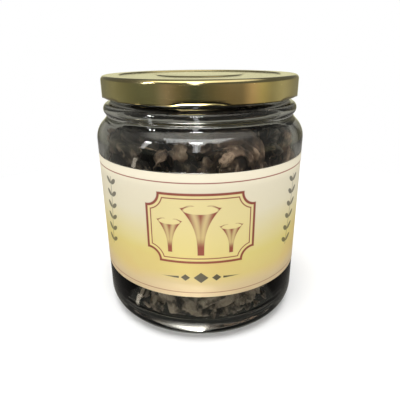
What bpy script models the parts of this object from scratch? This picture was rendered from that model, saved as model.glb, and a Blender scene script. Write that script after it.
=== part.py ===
"""A glass twist-off jar, closed and packed with dried black trumpet mushrooms.

The jar stands on the ground plane with its axis on world Z and its front towards -Y.
Run it with: blender --background --python part.py
"""

import math
import random

import bmesh
import bpy
import numpy as np
from mathutils import Matrix, Vector

MM = 0.001
MERGE = 0.00001
TURN_STEPS = 48
STEP_ANGLE = 360.0 / TURN_STEPS
CLEARANCE = 0.3 * MM

# Glass body, from the ground up
BODY_RADIUS = 46.5 * MM
WALL = 2.8 * MM
HEEL_RADIUS = 8.5 * MM
BEARING_INNER_RADIUS = 33.5 * MM
PUSH_UP = 3.0 * MM
PUSH_UP_STEP = 1.2 * MM
FLOOR_HEIGHT = 5.2 * MM
FLOOR_CROWN = 6.4 * MM
INNER_HEEL_RADIUS = 7.0 * MM
SHOULDER_HEIGHT = 81.5 * MM
SHOULDER_RADIUS = 10.0 * MM
SHOULDER_SWEEP = 49.0

# Glass mouth, from the shoulder up
GROOVE_RADIUS = 41.7 * MM
GROOVE_HEIGHT = 90.8 * MM
BEAD_CENTRE = (40.2 * MM, 94.1 * MM)
BEAD_ROUND = 2.6 * MM
BEAD_TOP_ANGLE = 70.0
BEAD_FOOT_ANGLE = -54.0
FINISH_RADIUS = 39.4 * MM
FINISH_FOOT = 98.4 * MM
FINISH_COVE = 2.2 * MM
FINISH_COVE_SWEEP = 65.0
BORE_RADIUS = 37.4 * MM
SEAL_HEIGHT = 105.4 * MM
RIM_ROUND = 0.9 * MM

# Six-start thread under the lid
LUG_COUNT = 6
LUG_PITCH = 360.0 / LUG_COUNT
FRONT = -90.0
THREAD_ROUND = 1.3 * MM
THREAD_HEIGHT = 102.75 * MM
THREAD_START = -15.0
THREAD_SWEEP = 37.5
THREAD_RISE_PER_DEGREE = 0.0375 * MM
THREAD_STEPS = 5
THREAD_ROOT = 0.8 * MM

# Tinplate lid
LID_RADIUS = 42.8 * MM
LID_TOP = 107.7 * MM
LID_BOTTOM = 98.8 * MM
LID_SHEET = 0.4 * MM
LID_CORNER = 1.2 * MM
LID_CURL = 0.8 * MM
PANEL_RADIUS = 35.0 * MM
PANEL_SINK = 0.5 * MM
PANEL_STEP = 0.7 * MM
BUTTON_RADIUS = 18.6 * MM
BUTTON_RISE = 0.35 * MM
BUTTON_CROWN = 0.2 * MM
LUG_SWEEP = 18.0
LUG_REACH = 39.95 * MM
LUG_TOP = 100.9 * MM
LUG_STEPS = 3

# Sealing ring inside the lid
RING_INNER_RADIUS = 36.6 * MM
RING_OUTER_RADIUS = 40.6 * MM

# Paper label, open at the back
LABEL_BOTTOM = 23.2 * MM
LABEL_HEIGHT = 52.6 * MM
LABEL_SHEET = 0.2 * MM
LABEL_STEPS = 40
LABEL_MARGIN = 0.7 * MM
LABEL_RECESS = CLEARANCE + LABEL_SHEET

# Black trumpet mushrooms
MUSHROOM_COUNT = 54
STATIONS = 7
SIDES = 8
FOOT_RADIUS = 2.6 * MM
MOUTH_RADIUS = 9.3 * MM
FLARE_POWER = 1.7
STALK_LENGTH = 34.0 * MM
SIZE_SPREAD = 0.18
FLESH = 0.9 * MM
FOOT_FLATNESS = 0.9
LIP_FLATNESS = 0.6
LIP_SPREAD = 1.04
LIP_ADVANCE = 0.45
LIP_WIDTH = 0.88
BALL_SHARE = 0.93
FOOT_TIP = 0.6
RUFFLE_DEPTH = 0.16
RUFFLE_WAVES = 3.0

# How the mushrooms are packed
PACK_SEED = 11
PACK_ROUNDS = 900
GROWTH_ROUNDS = 550
START_GROWTH = 0.45
PUSH_SHARE = 0.35
SCATTER_REACH = 0.8
SCATTER_MARGIN = 0.1
STEEPEST_LEAN = 0.9
TINY = 1e-9
STRAIGHTNESS = 1.86
PACK_RADIUS = BODY_RADIUS - WALL - 2 * CLEARANCE
PACK_FLOOR = FLOOR_CROWN + CLEARANCE
PACK_TOP = 88.6 * MM
CORNER_RADIUS = SHOULDER_RADIUS - WALL


def clear_scene():
    """Remove whatever the scene holds."""
    for item in list(bpy.data.objects):
        bpy.data.objects.remove(item, do_unlink=True)


def new_collection(name):
    """Return a new collection linked to the scene."""
    collection = bpy.data.collections.new(name)
    bpy.context.scene.collection.children.link(collection)
    return collection


def finish(name, colour, roughness, metallic=0.0, transmission=0.0):
    """Return a Principled material."""
    material = bpy.data.materials.new(name)
    material.use_nodes = True
    shader = material.node_tree.nodes["Principled BSDF"]
    shader.inputs["Base Color"].default_value = (*colour, 1.0)
    shader.inputs["Roughness"].default_value = roughness
    shader.inputs["Metallic"].default_value = metallic
    shader.inputs["Transmission Weight"].default_value = transmission
    return material


def make_object(name, mesh, collection, material=None):
    """Return an object that shows the bmesh, which is freed."""
    data = bpy.data.meshes.new(name)
    mesh.to_mesh(data)
    mesh.free()
    item = bpy.data.objects.new(name, data)
    collection.objects.link(item)
    if material:
        data.materials.append(material)
    return item


def shade_round(item):
    """Shade an object smooth except at its sharp edges."""
    item.data.shade_smooth()
    item.data.set_sharp_from_angle(angle=math.radians(40.0))


def arc(centre, radius, start, end, steps):
    """Return the points of an arc in the radius and height plane, with angles in degrees."""
    points = []
    for step in range(steps + 1):
        angle = math.radians(start + (end - start) * step / steps)
        points.append((centre[0] + radius * math.cos(angle), centre[1] + radius * math.sin(angle)))
    return points


def turned(name, outline, closed, collection, material):
    """Return an object turned round Z from an outline of radius and height pairs."""
    mesh = bmesh.new()
    corners = [mesh.verts.new((radius, 0.0, height)) for radius, height in outline]
    for first, second in zip(corners, corners[1:]):
        mesh.edges.new((first, second))
    if closed:
        mesh.edges.new((corners[-1], corners[0]))
    item = make_object(name, mesh, collection, material)
    screw = item.modifiers.new("turn", "SCREW")
    screw.axis = "Z"
    screw.steps = TURN_STEPS
    screw.render_steps = TURN_STEPS
    screw.use_merge_vertices = True
    screw.merge_threshold = MERGE
    screw.use_smooth_shade = True
    return item


def swept(mesh, outline, start, sweep, steps, rise=0.0):
    """Add a closed outline carried round the Z axis, with angles in degrees and a rise in all."""
    angle = math.radians(start)
    corners = []
    for radius, height in outline:
        corners.append(mesh.verts.new((radius * math.cos(angle), radius * math.sin(angle), height)))
    face = mesh.faces.new(corners)
    bmesh.ops.spin(
        mesh,
        geom=[face, *face.edges, *face.verts],
        cent=(0.0, 0.0, 0.0),
        axis=(0.0, 0.0, 1.0),
        dvec=(0.0, 0.0, rise / steps),
        angle=math.radians(sweep),
        steps=steps,
        use_duplicate=False,
    )
    bmesh.ops.recalc_face_normals(mesh, faces=mesh.faces)


def join_solid(item, cutter):
    """Join a cutter's solids to an object."""
    joint = item.modifiers.new("join", "BOOLEAN")
    joint.operation = "UNION"
    joint.solver = "EXACT"
    joint.object = cutter
    cutter.hide_render = True
    cutter.display_type = "WIRE"


def inner_wall():
    """Return the inside of the jar, from the middle of its floor up to the rim."""
    bore_cove = cove_radius()
    cove_height = SHOULDER_HEIGHT + CORNER_RADIUS * math.sin(math.radians(SHOULDER_SWEEP))
    cove_height += bore_cove * math.sin(math.radians(SHOULDER_SWEEP))
    inner_radius = BODY_RADIUS - WALL
    points = [(0.0, FLOOR_CROWN)]
    heel = (inner_radius - INNER_HEEL_RADIUS, FLOOR_HEIGHT + INNER_HEEL_RADIUS)
    points += arc(heel, INNER_HEEL_RADIUS, -90.0, 0.0, 4)
    shoulder = (BODY_RADIUS - SHOULDER_RADIUS, SHOULDER_HEIGHT)
    points += arc(shoulder, CORNER_RADIUS, 0.0, SHOULDER_SWEEP, 3)
    cove = (BORE_RADIUS + bore_cove, cove_height)
    points += arc(cove, bore_cove, 180.0 + SHOULDER_SWEEP, 180.0, 3)[1:]
    rim = (BORE_RADIUS + RIM_ROUND, SEAL_HEIGHT - RIM_ROUND)
    points += arc(rim, RIM_ROUND, 180.0, 90.0, 2)
    return points


def cove_radius():
    """Return the radius that carries the inner shoulder smoothly into the straight bore."""
    turn = math.cos(math.radians(SHOULDER_SWEEP))
    shoulder_end = BODY_RADIUS - SHOULDER_RADIUS + CORNER_RADIUS * turn
    return (shoulder_end - BORE_RADIUS) / (1.0 - turn)


def outer_wall():
    """Return the outside of the jar, from its rim down to the middle of its base."""
    points = arc((FINISH_RADIUS - RIM_ROUND, SEAL_HEIGHT - RIM_ROUND), RIM_ROUND, 90.0, 0.0, 2)
    cove = (FINISH_RADIUS + FINISH_COVE, FINISH_FOOT)
    points += arc(cove, FINISH_COVE, 180.0, 180.0 + FINISH_COVE_SWEEP, 3)
    points += arc(BEAD_CENTRE, BEAD_ROUND, BEAD_TOP_ANGLE, BEAD_FOOT_ANGLE, 7)
    points.append((GROOVE_RADIUS, GROOVE_HEIGHT))
    shoulder = (BODY_RADIUS - SHOULDER_RADIUS, SHOULDER_HEIGHT)
    points += arc(shoulder, SHOULDER_RADIUS, SHOULDER_SWEEP, 0.0, 5)
    points += label_recess()
    points += arc((BODY_RADIUS - HEEL_RADIUS, HEEL_RADIUS), HEEL_RADIUS, 0.0, -90.0, 6)
    points.append((BEARING_INNER_RADIUS, 0.0))
    points.append((BEARING_INNER_RADIUS - 2 * PUSH_UP_STEP, PUSH_UP_STEP))
    points.append((0.0, PUSH_UP))
    return points


def label_recess():
    """Return the shallow recess in the jar's side that keeps the label flush, top to bottom."""
    high = LABEL_BOTTOM + LABEL_HEIGHT + LABEL_MARGIN
    low = LABEL_BOTTOM - LABEL_MARGIN
    inner = BODY_RADIUS - LABEL_RECESS
    return [
        (BODY_RADIUS, high + LABEL_RECESS),
        (inner, high),
        (inner, low),
        (BODY_RADIUS, low - LABEL_RECESS),
    ]


def thread_ridges(guides):
    """Return the six raised threads that the lid's lugs hook under."""
    mesh = bmesh.new()
    for index in range(LUG_COUNT):
        start_height = THREAD_HEIGHT + THREAD_START * THREAD_RISE_PER_DEGREE
        outline = arc((FINISH_RADIUS, start_height), THREAD_ROUND, -90.0, 90.0, 4)
        outline.append((FINISH_RADIUS - THREAD_ROOT, start_height + THREAD_ROUND))
        outline.append((FINISH_RADIUS - THREAD_ROOT, start_height - THREAD_ROUND))
        start = FRONT + index * LUG_PITCH + THREAD_START
        rise = THREAD_SWEEP * THREAD_RISE_PER_DEGREE
        swept(mesh, outline, start, THREAD_SWEEP, THREAD_STEPS, rise)
    return make_object("thread_ridges", mesh, guides)


def build_jar(parts, guides):
    """Build the glass jar: a turned wall with six threads round its mouth."""
    glass = finish("clear_glass", (0.86, 0.89, 0.86), 0.04, transmission=1.0)
    jar = turned("glass_jar", inner_wall() + outer_wall(), False, parts, glass)
    join_solid(jar, thread_ridges(guides))


def lid_surface():
    """Return the outside of the lid, from the middle of its top down round the curled edge."""
    panel = LID_TOP - PANEL_SINK
    points = [(0.0, panel + BUTTON_RISE + BUTTON_CROWN)]
    points.append((BUTTON_RADIUS, panel + BUTTON_RISE))
    points.append((BUTTON_RADIUS + PANEL_STEP, panel))
    points.append((PANEL_RADIUS, panel))
    points.append((PANEL_RADIUS + PANEL_STEP, LID_TOP))
    points += arc((LID_RADIUS - LID_CORNER, LID_TOP - LID_CORNER), LID_CORNER, 90.0, 0.0, 3)
    points += arc((LID_RADIUS - LID_CURL, LID_BOTTOM + LID_CURL), LID_CURL, 0.0, -180.0, 4)
    return points


def lid_lugs(guides):
    """Return the six lugs pressed inwards from the lid's curled edge."""
    mesh = bmesh.new()
    low = LID_BOTTOM + LID_SHEET / 2
    high = LUG_TOP
    outer = LID_RADIUS - LID_CURL
    outline = [(LUG_REACH, low), (outer, low), (outer, high), (LUG_REACH, high)]
    for index in range(LUG_COUNT):
        start = FRONT + index * LUG_PITCH - LUG_SWEEP / 2
        swept(mesh, outline, start, LUG_SWEEP, LUG_STEPS)
    return make_object("lid_lugs", mesh, guides)


def build_lid(parts, guides):
    """Build the lid: thin sheet, drawn, curled at the edge and pressed into six lugs."""
    gold = finish("gold_lacquer", (0.56, 0.47, 0.24), 0.3, metallic=1.0)
    lid = turned("lid", lid_surface(), False, parts, gold)
    sheet = lid.modifiers.new("sheet", "SOLIDIFY")
    sheet.thickness = LID_SHEET
    sheet.offset = -1.0
    join_solid(lid, lid_lugs(guides))


def build_sealing_ring(parts):
    """Build the soft ring that seals the lid on the rim."""
    compound = finish("sealing_compound", (0.74, 0.70, 0.62), 0.6)
    low = SEAL_HEIGHT + CLEARANCE
    high = LID_TOP - LID_SHEET - CLEARANCE
    round_off = (high - low) / 4
    outline = [
        (RING_INNER_RADIUS, high),
        (RING_OUTER_RADIUS, high),
        (RING_OUTER_RADIUS, low + round_off),
        (RING_OUTER_RADIUS - round_off, low),
        (RING_INNER_RADIUS + round_off, low),
        (RING_INNER_RADIUS, low + round_off),
    ]
    turned("sealing_ring", outline, True, parts, compound)


def build_label(parts):
    """Build the paper label, which stops short of meeting itself at the back."""
    paper = finish("label_paper", (0.86, 0.79, 0.55), 0.55)
    outer = BODY_RADIUS
    inner = outer - LABEL_SHEET
    top = LABEL_BOTTOM + LABEL_HEIGHT
    outline = [(inner, LABEL_BOTTOM), (outer, LABEL_BOTTOM), (outer, top), (inner, top)]
    sweep = LABEL_STEPS * STEP_ANGLE
    mesh = bmesh.new()
    swept(mesh, outline, FRONT - sweep / 2, sweep, LABEL_STEPS)
    shade_round(make_object("label", mesh, parts, paper))


def ball_plan(rng):
    """Return the radii and the spacing of each mushroom's row of balls, foot first."""
    radii = []
    spacings = []
    for _ in range(MUSHROOM_COUNT):
        size = 1.0 + SIZE_SPREAD * (2.0 * rng.random() - 1.0)
        spacings.append(size * STALK_LENGTH / (STATIONS - 1))
        for station in range(STATIONS):
            share = station / (STATIONS - 1)
            flare = math.exp(FLARE_POWER * math.log(share)) if share else 0.0
            radii.append(size * (FOOT_RADIUS + (MOUTH_RADIUS - FOOT_RADIUS) * flare))
    return np.round(np.array(radii), 9), np.round(np.array(spacings), 9)


def scatter(rng, spacings):
    """Return the balls' first places: straight rows at random angles, spread over the jar."""
    places = []
    for index in range(MUSHROOM_COUNT):
        reach = SCATTER_REACH * PACK_RADIUS * math.sqrt(rng.random())
        angle = 2.0 * math.pi * rng.random()
        share = SCATTER_MARGIN + (1.0 - 2.0 * SCATTER_MARGIN) * (index + 0.5) / MUSHROOM_COUNT
        height = PACK_FLOOR + (PACK_TOP - PACK_FLOOR) * share
        middle = Vector((reach * math.cos(angle), reach * math.sin(angle), height))
        lean = STEEPEST_LEAN * (2.0 * rng.random() - 1.0)
        turn = 2.0 * math.pi * rng.random()
        level = math.sqrt(1.0 - lean * lean)
        along = Vector((level * math.cos(turn), level * math.sin(turn), lean))
        for station in range(STATIONS):
            places.append(middle + along * spacings[index] * (station - (STATIONS - 1) / 2))
    return np.round(np.array([tuple(place) for place in places]), 7)


def distance(offsets):
    """Return the length of each row of an array of offsets."""
    squares = offsets * offsets
    return np.sqrt(squares[:, 0] + squares[:, 1] + squares[:, 2]) + TINY


def hold_rows(places, spacings):
    """Keep each mushroom's balls evenly spaced and its row from folding over."""
    rows = places.reshape(MUSHROOM_COUNT, STATIONS, 3)
    for first in range(STATIONS - 1):
        offset = rows[:, first + 1] - rows[:, first]
        length = distance(offset)
        change = offset * ((length - spacings) / length * 0.5)[:, None]
        rows[:, first] += change
        rows[:, first + 1] -= change
    for first in range(STATIONS - 2):
        offset = rows[:, first + 2] - rows[:, first]
        length = distance(offset)
        short = np.maximum(STRAIGHTNESS * spacings - length, 0.0)
        change = offset * (short / length * 0.5)[:, None]
        rows[:, first] -= change
        rows[:, first + 2] += change


def push_apart(places, radii, pairs):
    """Move balls of different mushrooms out of each other."""
    first, second = pairs
    offset = places[first] - places[second]
    length = distance(offset)
    overlap = radii[first] + radii[second] + CLEARANCE - length
    touching = overlap > 0.0
    shift = offset[touching] * (overlap[touching] / length[touching] * PUSH_SHARE)[:, None]
    np.add.at(places, first[touching], shift)
    np.add.at(places, second[touching], -shift)


def keep_in_jar(places, radii):
    """Move balls back inside the wall, the floor, the top level and the rounded corners."""
    reach = np.sqrt(places[:, 0] * places[:, 0] + places[:, 1] * places[:, 1]) + TINY
    limit = np.minimum(reach, PACK_RADIUS - radii)
    height = np.clip(places[:, 2], PACK_FLOOR + radii, PACK_TOP - radii)
    room = np.maximum(CORNER_RADIUS - radii, 0.0)
    past_wall = np.maximum(limit - (PACK_RADIUS - CORNER_RADIUS), 0.0)
    above = np.maximum(height - SHOULDER_HEIGHT, 0.0)
    below = np.maximum(PACK_FLOOR + CORNER_RADIUS - height, 0.0)
    past_end = np.maximum(above, below)
    out = np.sqrt(past_wall * past_wall + past_end * past_end) + TINY
    pull = np.where((past_wall > 0.0) & (past_end > 0.0), np.minimum(room / out, 1.0), 1.0)
    limit = limit - past_wall * (1.0 - pull)
    height = height + (below - above) * (1.0 - pull)
    places[:, 0] *= limit / reach
    places[:, 1] *= limit / reach
    places[:, 2] = height


def pack_mushrooms():
    """Return each mushroom's row of ball centres and radii, packed into the jar.

    Each mushroom is a row of balls that widens from foot to mouth. The balls start small and
    grow while they push each other apart, so the rows bend round one another and along the glass.
    """
    rng = random.Random(PACK_SEED)
    radii, spacings = ball_plan(rng)
    places = scatter(rng, spacings)
    first, second = np.triu_indices(len(radii), 1)
    apart = first // STATIONS != second // STATIONS
    pairs = (first[apart], second[apart])
    for turn in range(PACK_ROUNDS):
        growth = min(1.0, START_GROWTH + (1.0 - START_GROWTH) * turn / GROWTH_ROUNDS)
        hold_rows(places, spacings)
        push_apart(places, radii * growth, pairs)
        keep_in_jar(places, radii * growth)
    rows = places.reshape(MUSHROOM_COUNT, STATIONS, 3)
    return rows, radii.reshape(MUSHROOM_COUNT, STATIONS)


def section_frames(centres, radii):
    """Return a frame for each section of a mushroom, from its foot to its open lip.

    A frame's third axis runs along the mushroom. Its second is the flat way of the squashed
    funnel, which faces the jar's axis.
    """
    points = [Vector(centre) for centre in centres]
    start = (points[1] - points[0]).normalized()
    end = (points[-1] - points[-2]).normalized()
    points[0] = points[0] - start * radii[0] * FOOT_TIP
    points.append(points[-1] + end * radii[-1] * LIP_ADVANCE)
    widths = [radius * BALL_SHARE for radius in (*radii, radii[-1] * LIP_WIDTH)]
    middle = points[STATIONS // 2]
    flat = Vector((middle.x, middle.y, 0.0))
    frames = []
    for index, point in enumerate(points):
        ahead = points[min(index + 1, len(points) - 1)]
        behind = points[max(index - 1, 0)]
        along = (ahead - behind).normalized()
        flat = (flat - along * flat.dot(along)).normalized()
        wide = flat.cross(along)
        share = index / (len(points) - 1)
        spread = widths[index] * (1.0 + (LIP_SPREAD - 1.0) * share)
        depth = widths[index] * (FOOT_FLATNESS + (LIP_FLATNESS - FOOT_FLATNESS) * share)
        axes = Matrix((wide * spread, flat * depth, along * spread)).transposed()
        frames.append(Matrix.Translation(point) @ axes.to_4x4())
    return frames


def ruffle(angle, share, phase):
    """Return how far the funnel's edge stands in or out at an angle and a share of its length."""
    wave = 0.5 + 0.5 * math.cos(RUFFLE_WAVES * angle + phase)
    return 1.0 - RUFFLE_DEPTH * share * share * wave


def trumpet_mesh(frames, phase):
    """Return an open funnel, made by extruding a ring from section to section."""
    mesh = bmesh.new()
    ring = bmesh.ops.create_circle(mesh, cap_ends=True, segments=SIDES, radius=1.0)["verts"]
    bmesh.ops.transform(mesh, matrix=frames[0], verts=ring)
    edges = list(mesh.edges)
    for index in range(1, len(frames)):
        grown = bmesh.ops.extrude_edge_only(mesh, edges=edges)["geom"]
        ring = [part for part in grown if isinstance(part, bmesh.types.BMVert)]
        edges = [part for part in grown if isinstance(part, bmesh.types.BMEdge)]
        edges = [edge for edge in edges if edge.verts[0] in ring and edge.verts[1] in ring]
        to_flat = frames[index - 1].inverted()
        share = index / (len(frames) - 1)
        for vert in ring:
            flat = to_flat @ vert.co
            angle = math.atan2(flat.y, flat.x)
            out = ruffle(angle, share, phase)
            vert.co = frames[index] @ Vector((out * math.cos(angle), out * math.sin(angle), 0.0))
    bmesh.ops.recalc_face_normals(mesh, faces=mesh.faces)
    return mesh


def build_mushrooms(parts):
    """Build the packed black trumpets, each a thin hollow funnel squashed flat."""
    shades = [
        finish("mushroom_black", (0.035, 0.028, 0.024), 0.5),
        finish("mushroom_brown", (0.085, 0.062, 0.045), 0.5),
        finish("mushroom_grey", (0.13, 0.115, 0.10), 0.5),
    ]
    rng = random.Random(PACK_SEED)
    rows, radii = pack_mushrooms()
    for index in range(MUSHROOM_COUNT):
        frames = section_frames(rows[index], radii[index])
        mesh = trumpet_mesh(frames, 2.0 * math.pi * rng.random())
        name = f"mushroom_{index + 1:02d}"
        item = make_object(name, mesh, parts, shades[index % len(shades)])
        shade_round(item)
        flesh = item.modifiers.new("flesh", "SOLIDIFY")
        flesh.thickness = FLESH
        flesh.offset = -1.0


def main():
    """Build the whole filled jar."""
    clear_scene()
    parts = new_collection("jar_of_black_trumpets")
    guides = new_collection("guides")
    build_jar(parts, guides)
    build_lid(parts, guides)
    build_sealing_ring(parts)
    build_label(parts)
    build_mushrooms(parts)


main()
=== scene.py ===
"""A closed glass jar of dried black trumpet mushrooms, dressed for the camera.

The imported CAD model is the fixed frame. Every piece here stands in the place of one of its nodes, in
metres, with the jar's axis on Z and the label's front towards -Y.
"""

import logging
import math
import random
from dataclasses import dataclass
from enum import Enum
from typing import Callable, Optional, Sequence, Union

import bpy
import numpy as np
from mathutils import Matrix, Vector
from mathutils.kdtree import KDTree


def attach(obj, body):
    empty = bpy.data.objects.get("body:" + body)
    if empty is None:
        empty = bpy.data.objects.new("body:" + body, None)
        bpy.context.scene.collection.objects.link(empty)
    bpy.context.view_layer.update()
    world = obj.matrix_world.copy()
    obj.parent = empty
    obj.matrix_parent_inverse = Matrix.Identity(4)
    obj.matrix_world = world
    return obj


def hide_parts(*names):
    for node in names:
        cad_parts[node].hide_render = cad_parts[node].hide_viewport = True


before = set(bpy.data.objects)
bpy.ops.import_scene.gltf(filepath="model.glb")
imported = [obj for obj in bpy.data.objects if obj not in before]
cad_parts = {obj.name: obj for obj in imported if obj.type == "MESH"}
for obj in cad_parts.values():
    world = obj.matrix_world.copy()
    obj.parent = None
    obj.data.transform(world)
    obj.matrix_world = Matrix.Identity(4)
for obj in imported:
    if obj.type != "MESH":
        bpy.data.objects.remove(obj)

MM = 0.001
TINY = 1e-9
FRONT = -90.0
LOG = logging.getLogger("jar")

Outline = list[tuple[float, float]]


def screen(red: int, green: int, blue: int) -> tuple[float, float, float, float]:
    """Return the linear colour of a screen colour.

    Args:
        red: red from 0 to 255.
        green: green from 0 to 255.
        blue: blue from 0 to 255.

    Returns:
        The colour in linear light, with an alpha of 1.
    """
    channels = []
    for value in (red, green, blue):
        share = value / 255.0
        channels.append(share / 12.92 if share <= 0.04045 else ((share + 0.055) / 1.055) ** 2.4)
    return (channels[0], channels[1], channels[2], 1.0)


def smooth(share: np.ndarray) -> np.ndarray:
    """Return an array eased from 0 to 1, flat at both ends."""
    held = np.clip(share, 0.0, 1.0)
    return held * held * (3.0 - 2.0 * held)


def arc(centre: tuple[float, float], radius: float, start: float, end: float, steps: int) -> Outline:
    """Return the points of an arc in the radius and height plane.

    Args:
        centre: the arc's centre, as radius and height.
        radius: the arc's own radius.
        start: the first angle in degrees.
        end: the last angle in degrees.
        steps: the number of chords.

    Returns:
        The points, first to last.
    """
    points = []
    for step in range(steps + 1):
        angle = math.radians(start + (end - start) * step / steps)
        points.append((centre[0] + radius * math.cos(angle), centre[1] + radius * math.sin(angle)))
    return points


def run(start: tuple[float, float], end: tuple[float, float], steps: int) -> Outline:
    """Return evenly spaced points on a straight stretch, without its two ends."""
    points = []
    for step in range(1, steps):
        share = step / steps
        points.append((start[0] + (end[0] - start[0]) * share, start[1] + (end[1] - start[1]) * share))
    return points


# Node maths


class Signal:
    """A node's socket that takes part in Python sums by adding Math nodes."""

    def __init__(self, desk: "Desk", socket: bpy.types.NodeSocket) -> None:
        """Wrap a socket.

        Args:
            desk: the node tree's helper.
            socket: the output socket.
        """
        self.desk = desk
        self.socket = socket

    def sum(self, operation: str, *others: "Number") -> "Signal":
        """Return this value put through a Math node.

        Args:
            operation: the Math node's operation.
            others: the values after this one.

        Returns:
            The node's result.
        """
        return self.desk.add("ShaderNodeMath", {"operation": operation}, dict(enumerate((self, *others))))

    def swapped(self, operation: str, other: "Number") -> "Signal":
        """Return a Math node's result with this value as its second input."""
        return self.desk.add("ShaderNodeMath", {"operation": operation}, {0: other, 1: self})

    def __add__(self, other: "Number") -> "Signal":
        """Return self + other."""
        return self.sum("ADD", other)

    __radd__ = __add__

    def __sub__(self, other: "Number") -> "Signal":
        """Return self - other."""
        return self.sum("SUBTRACT", other)

    def __rsub__(self, other: "Number") -> "Signal":
        """Return other - self."""
        return self.swapped("SUBTRACT", other)

    def __mul__(self, other: "Number") -> "Signal":
        """Return self * other."""
        return self.sum("MULTIPLY", other)

    __rmul__ = __mul__

    def __truediv__(self, other: "Number") -> "Signal":
        """Return self / other."""
        return self.sum("DIVIDE", other)

    def __pow__(self, other: "Number") -> "Signal":
        """Return self to a power."""
        return self.sum("POWER", other)

    def __neg__(self) -> "Signal":
        """Return the negative."""
        return self.sum("MULTIPLY", -1.0)

    def __abs__(self) -> "Signal":
        """Return the size without its sign."""
        return self.sum("ABSOLUTE")

    def least(self, other: "Number") -> "Signal":
        """Return the smaller of the two."""
        return self.sum("MINIMUM", other)

    def most(self, other: "Number") -> "Signal":
        """Return the larger of the two."""
        return self.sum("MAXIMUM", other)

    def ease(self, low: float, high: float) -> "Signal":
        """Return 0 at low and 1 at high, with a smooth run between; low may be the larger."""
        inputs = {"Value": self, "From Min": low, "From Max": high, "To Min": 0.0, "To Max": 1.0}
        return self.desk.add("ShaderNodeMapRange", {"interpolation_type": "SMOOTHSTEP"}, inputs)

    def output(self, name: str) -> "Signal":
        """Return another output of the same node."""
        return Signal(self.desk, self.socket.node.outputs[name])


Number = Union[Signal, float]
SocketValue = Union[Signal, float, Sequence[float]]


class Desk:
    """Adds nodes to one node tree."""

    def __init__(self, tree: bpy.types.NodeTree) -> None:
        """Start from an empty tree.

        Args:
            tree: the material's or the world's node tree.
        """
        self.tree = tree
        tree.nodes.clear()

    def add(
        self,
        kind: str,
        settings: Optional[dict] = None,
        inputs: Optional[dict[Union[str, int], SocketValue]] = None,
        output: Union[str, int] = 0,
    ) -> Signal:
        """Add a node.

        Args:
            kind: the node's type.
            settings: its settings, or a ramp's stops.
            inputs: values or signals for its sockets, by name or number.
            output: the output that is returned.

        Returns:
            The chosen output.
        """
        node = self.tree.nodes.new(kind)
        for name, value in (settings or {}).items():
            if name == "stops":
                self.fill_ramp(node.color_ramp, value)
            else:
                setattr(node, name, value)
        for key, value in (inputs or {}).items():
            if isinstance(value, Signal):
                self.tree.links.new(value.socket, node.inputs[key])
            else:
                node.inputs[key].default_value = value
        return Signal(self, node.outputs[output] if len(node.outputs) else None)

    @staticmethod
    def fill_ramp(ramp: bpy.types.ColorRamp, stops: Sequence[tuple[float, Sequence[float]]]) -> None:
        """Put stops on a colour ramp.

        Args:
            ramp: the node's ramp.
            stops: places from 0 to 1 with their colours.
        """
        while len(ramp.elements) > 1:
            ramp.elements.remove(ramp.elements[-1])
        ramp.elements[0].position = stops[0][0]
        ramp.elements[0].color = stops[0][1]
        for place, colour in stops[1:]:
            ramp.elements.new(place).color = colour

    def place(self) -> Signal:
        """Return the point in the piece's own metres."""
        return self.add("ShaderNodeTexCoord", output="Object")

    def parts(self, vector: Signal) -> tuple[Signal, Signal, Signal]:
        """Return a vector's X, Y and Z."""
        split = self.add("ShaderNodeSeparateXYZ", inputs={0: vector})
        return split, split.output("Y"), split.output("Z")

    def noise(self, vector: Signal, scale: float, detail: float = 3.0, roughness: float = 0.5) -> Signal:
        """Return fractal noise from about 0 to 1.

        Args:
            vector: the point.
            scale: how many lumps there are in a metre.
            detail: the number of finer layers.
            roughness: the strength of the finer layers.

        Returns:
            The noise value.
        """
        inputs = {"Vector": vector, "Scale": scale, "Detail": detail, "Roughness": roughness}
        return self.add("ShaderNodeTexNoise", inputs=inputs)

    def stretched(self, vector: Signal, by: Sequence[float]) -> Signal:
        """Return the point with its axes scaled."""
        return self.add("ShaderNodeVectorMath", {"operation": "MULTIPLY"}, {0: vector, 1: by})

    def mix(self, share: Number, first: SocketValue, second: SocketValue, blend: str = "MIX") -> Signal:
        """Return two colours mixed.

        Args:
            share: how much of the second colour.
            first: the colour at 0.
            second: the colour at 1.
            blend: the way that they mix.

        Returns:
            The mixed colour.
        """
        settings = {"data_type": "RGBA", "blend_type": blend}
        return self.add("ShaderNodeMix", settings, {0: share, 6: first, 7: second}, 2)

    def bump(self, height: Signal, distance: float, strength: float = 1.0) -> Signal:
        """Return a normal that follows a height.

        Args:
            height: the height, from about 0 to 1.
            distance: the real height of 1, in metres.
            strength: how much of it shows.

        Returns:
            The normal.
        """
        inputs = {"Height": height, "Distance": distance, "Strength": strength}
        return self.add("ShaderNodeBump", inputs=inputs)

    def surface(self, inputs: dict[Union[str, int], SocketValue]) -> None:
        """Finish the tree with a Principled shader.

        Args:
            inputs: values or signals for the shader's sockets.
        """
        shader = self.add("ShaderNodeBsdfPrincipled", inputs=inputs)
        self.add("ShaderNodeOutputMaterial", inputs={"Surface": shader})


def new_material(name: str) -> tuple[bpy.types.Material, Desk]:
    """Return a new material and the desk for its nodes."""
    material = bpy.data.materials.new(name)
    material.use_nodes = True
    return material, Desk(material.node_tree)


# Finishes


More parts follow.
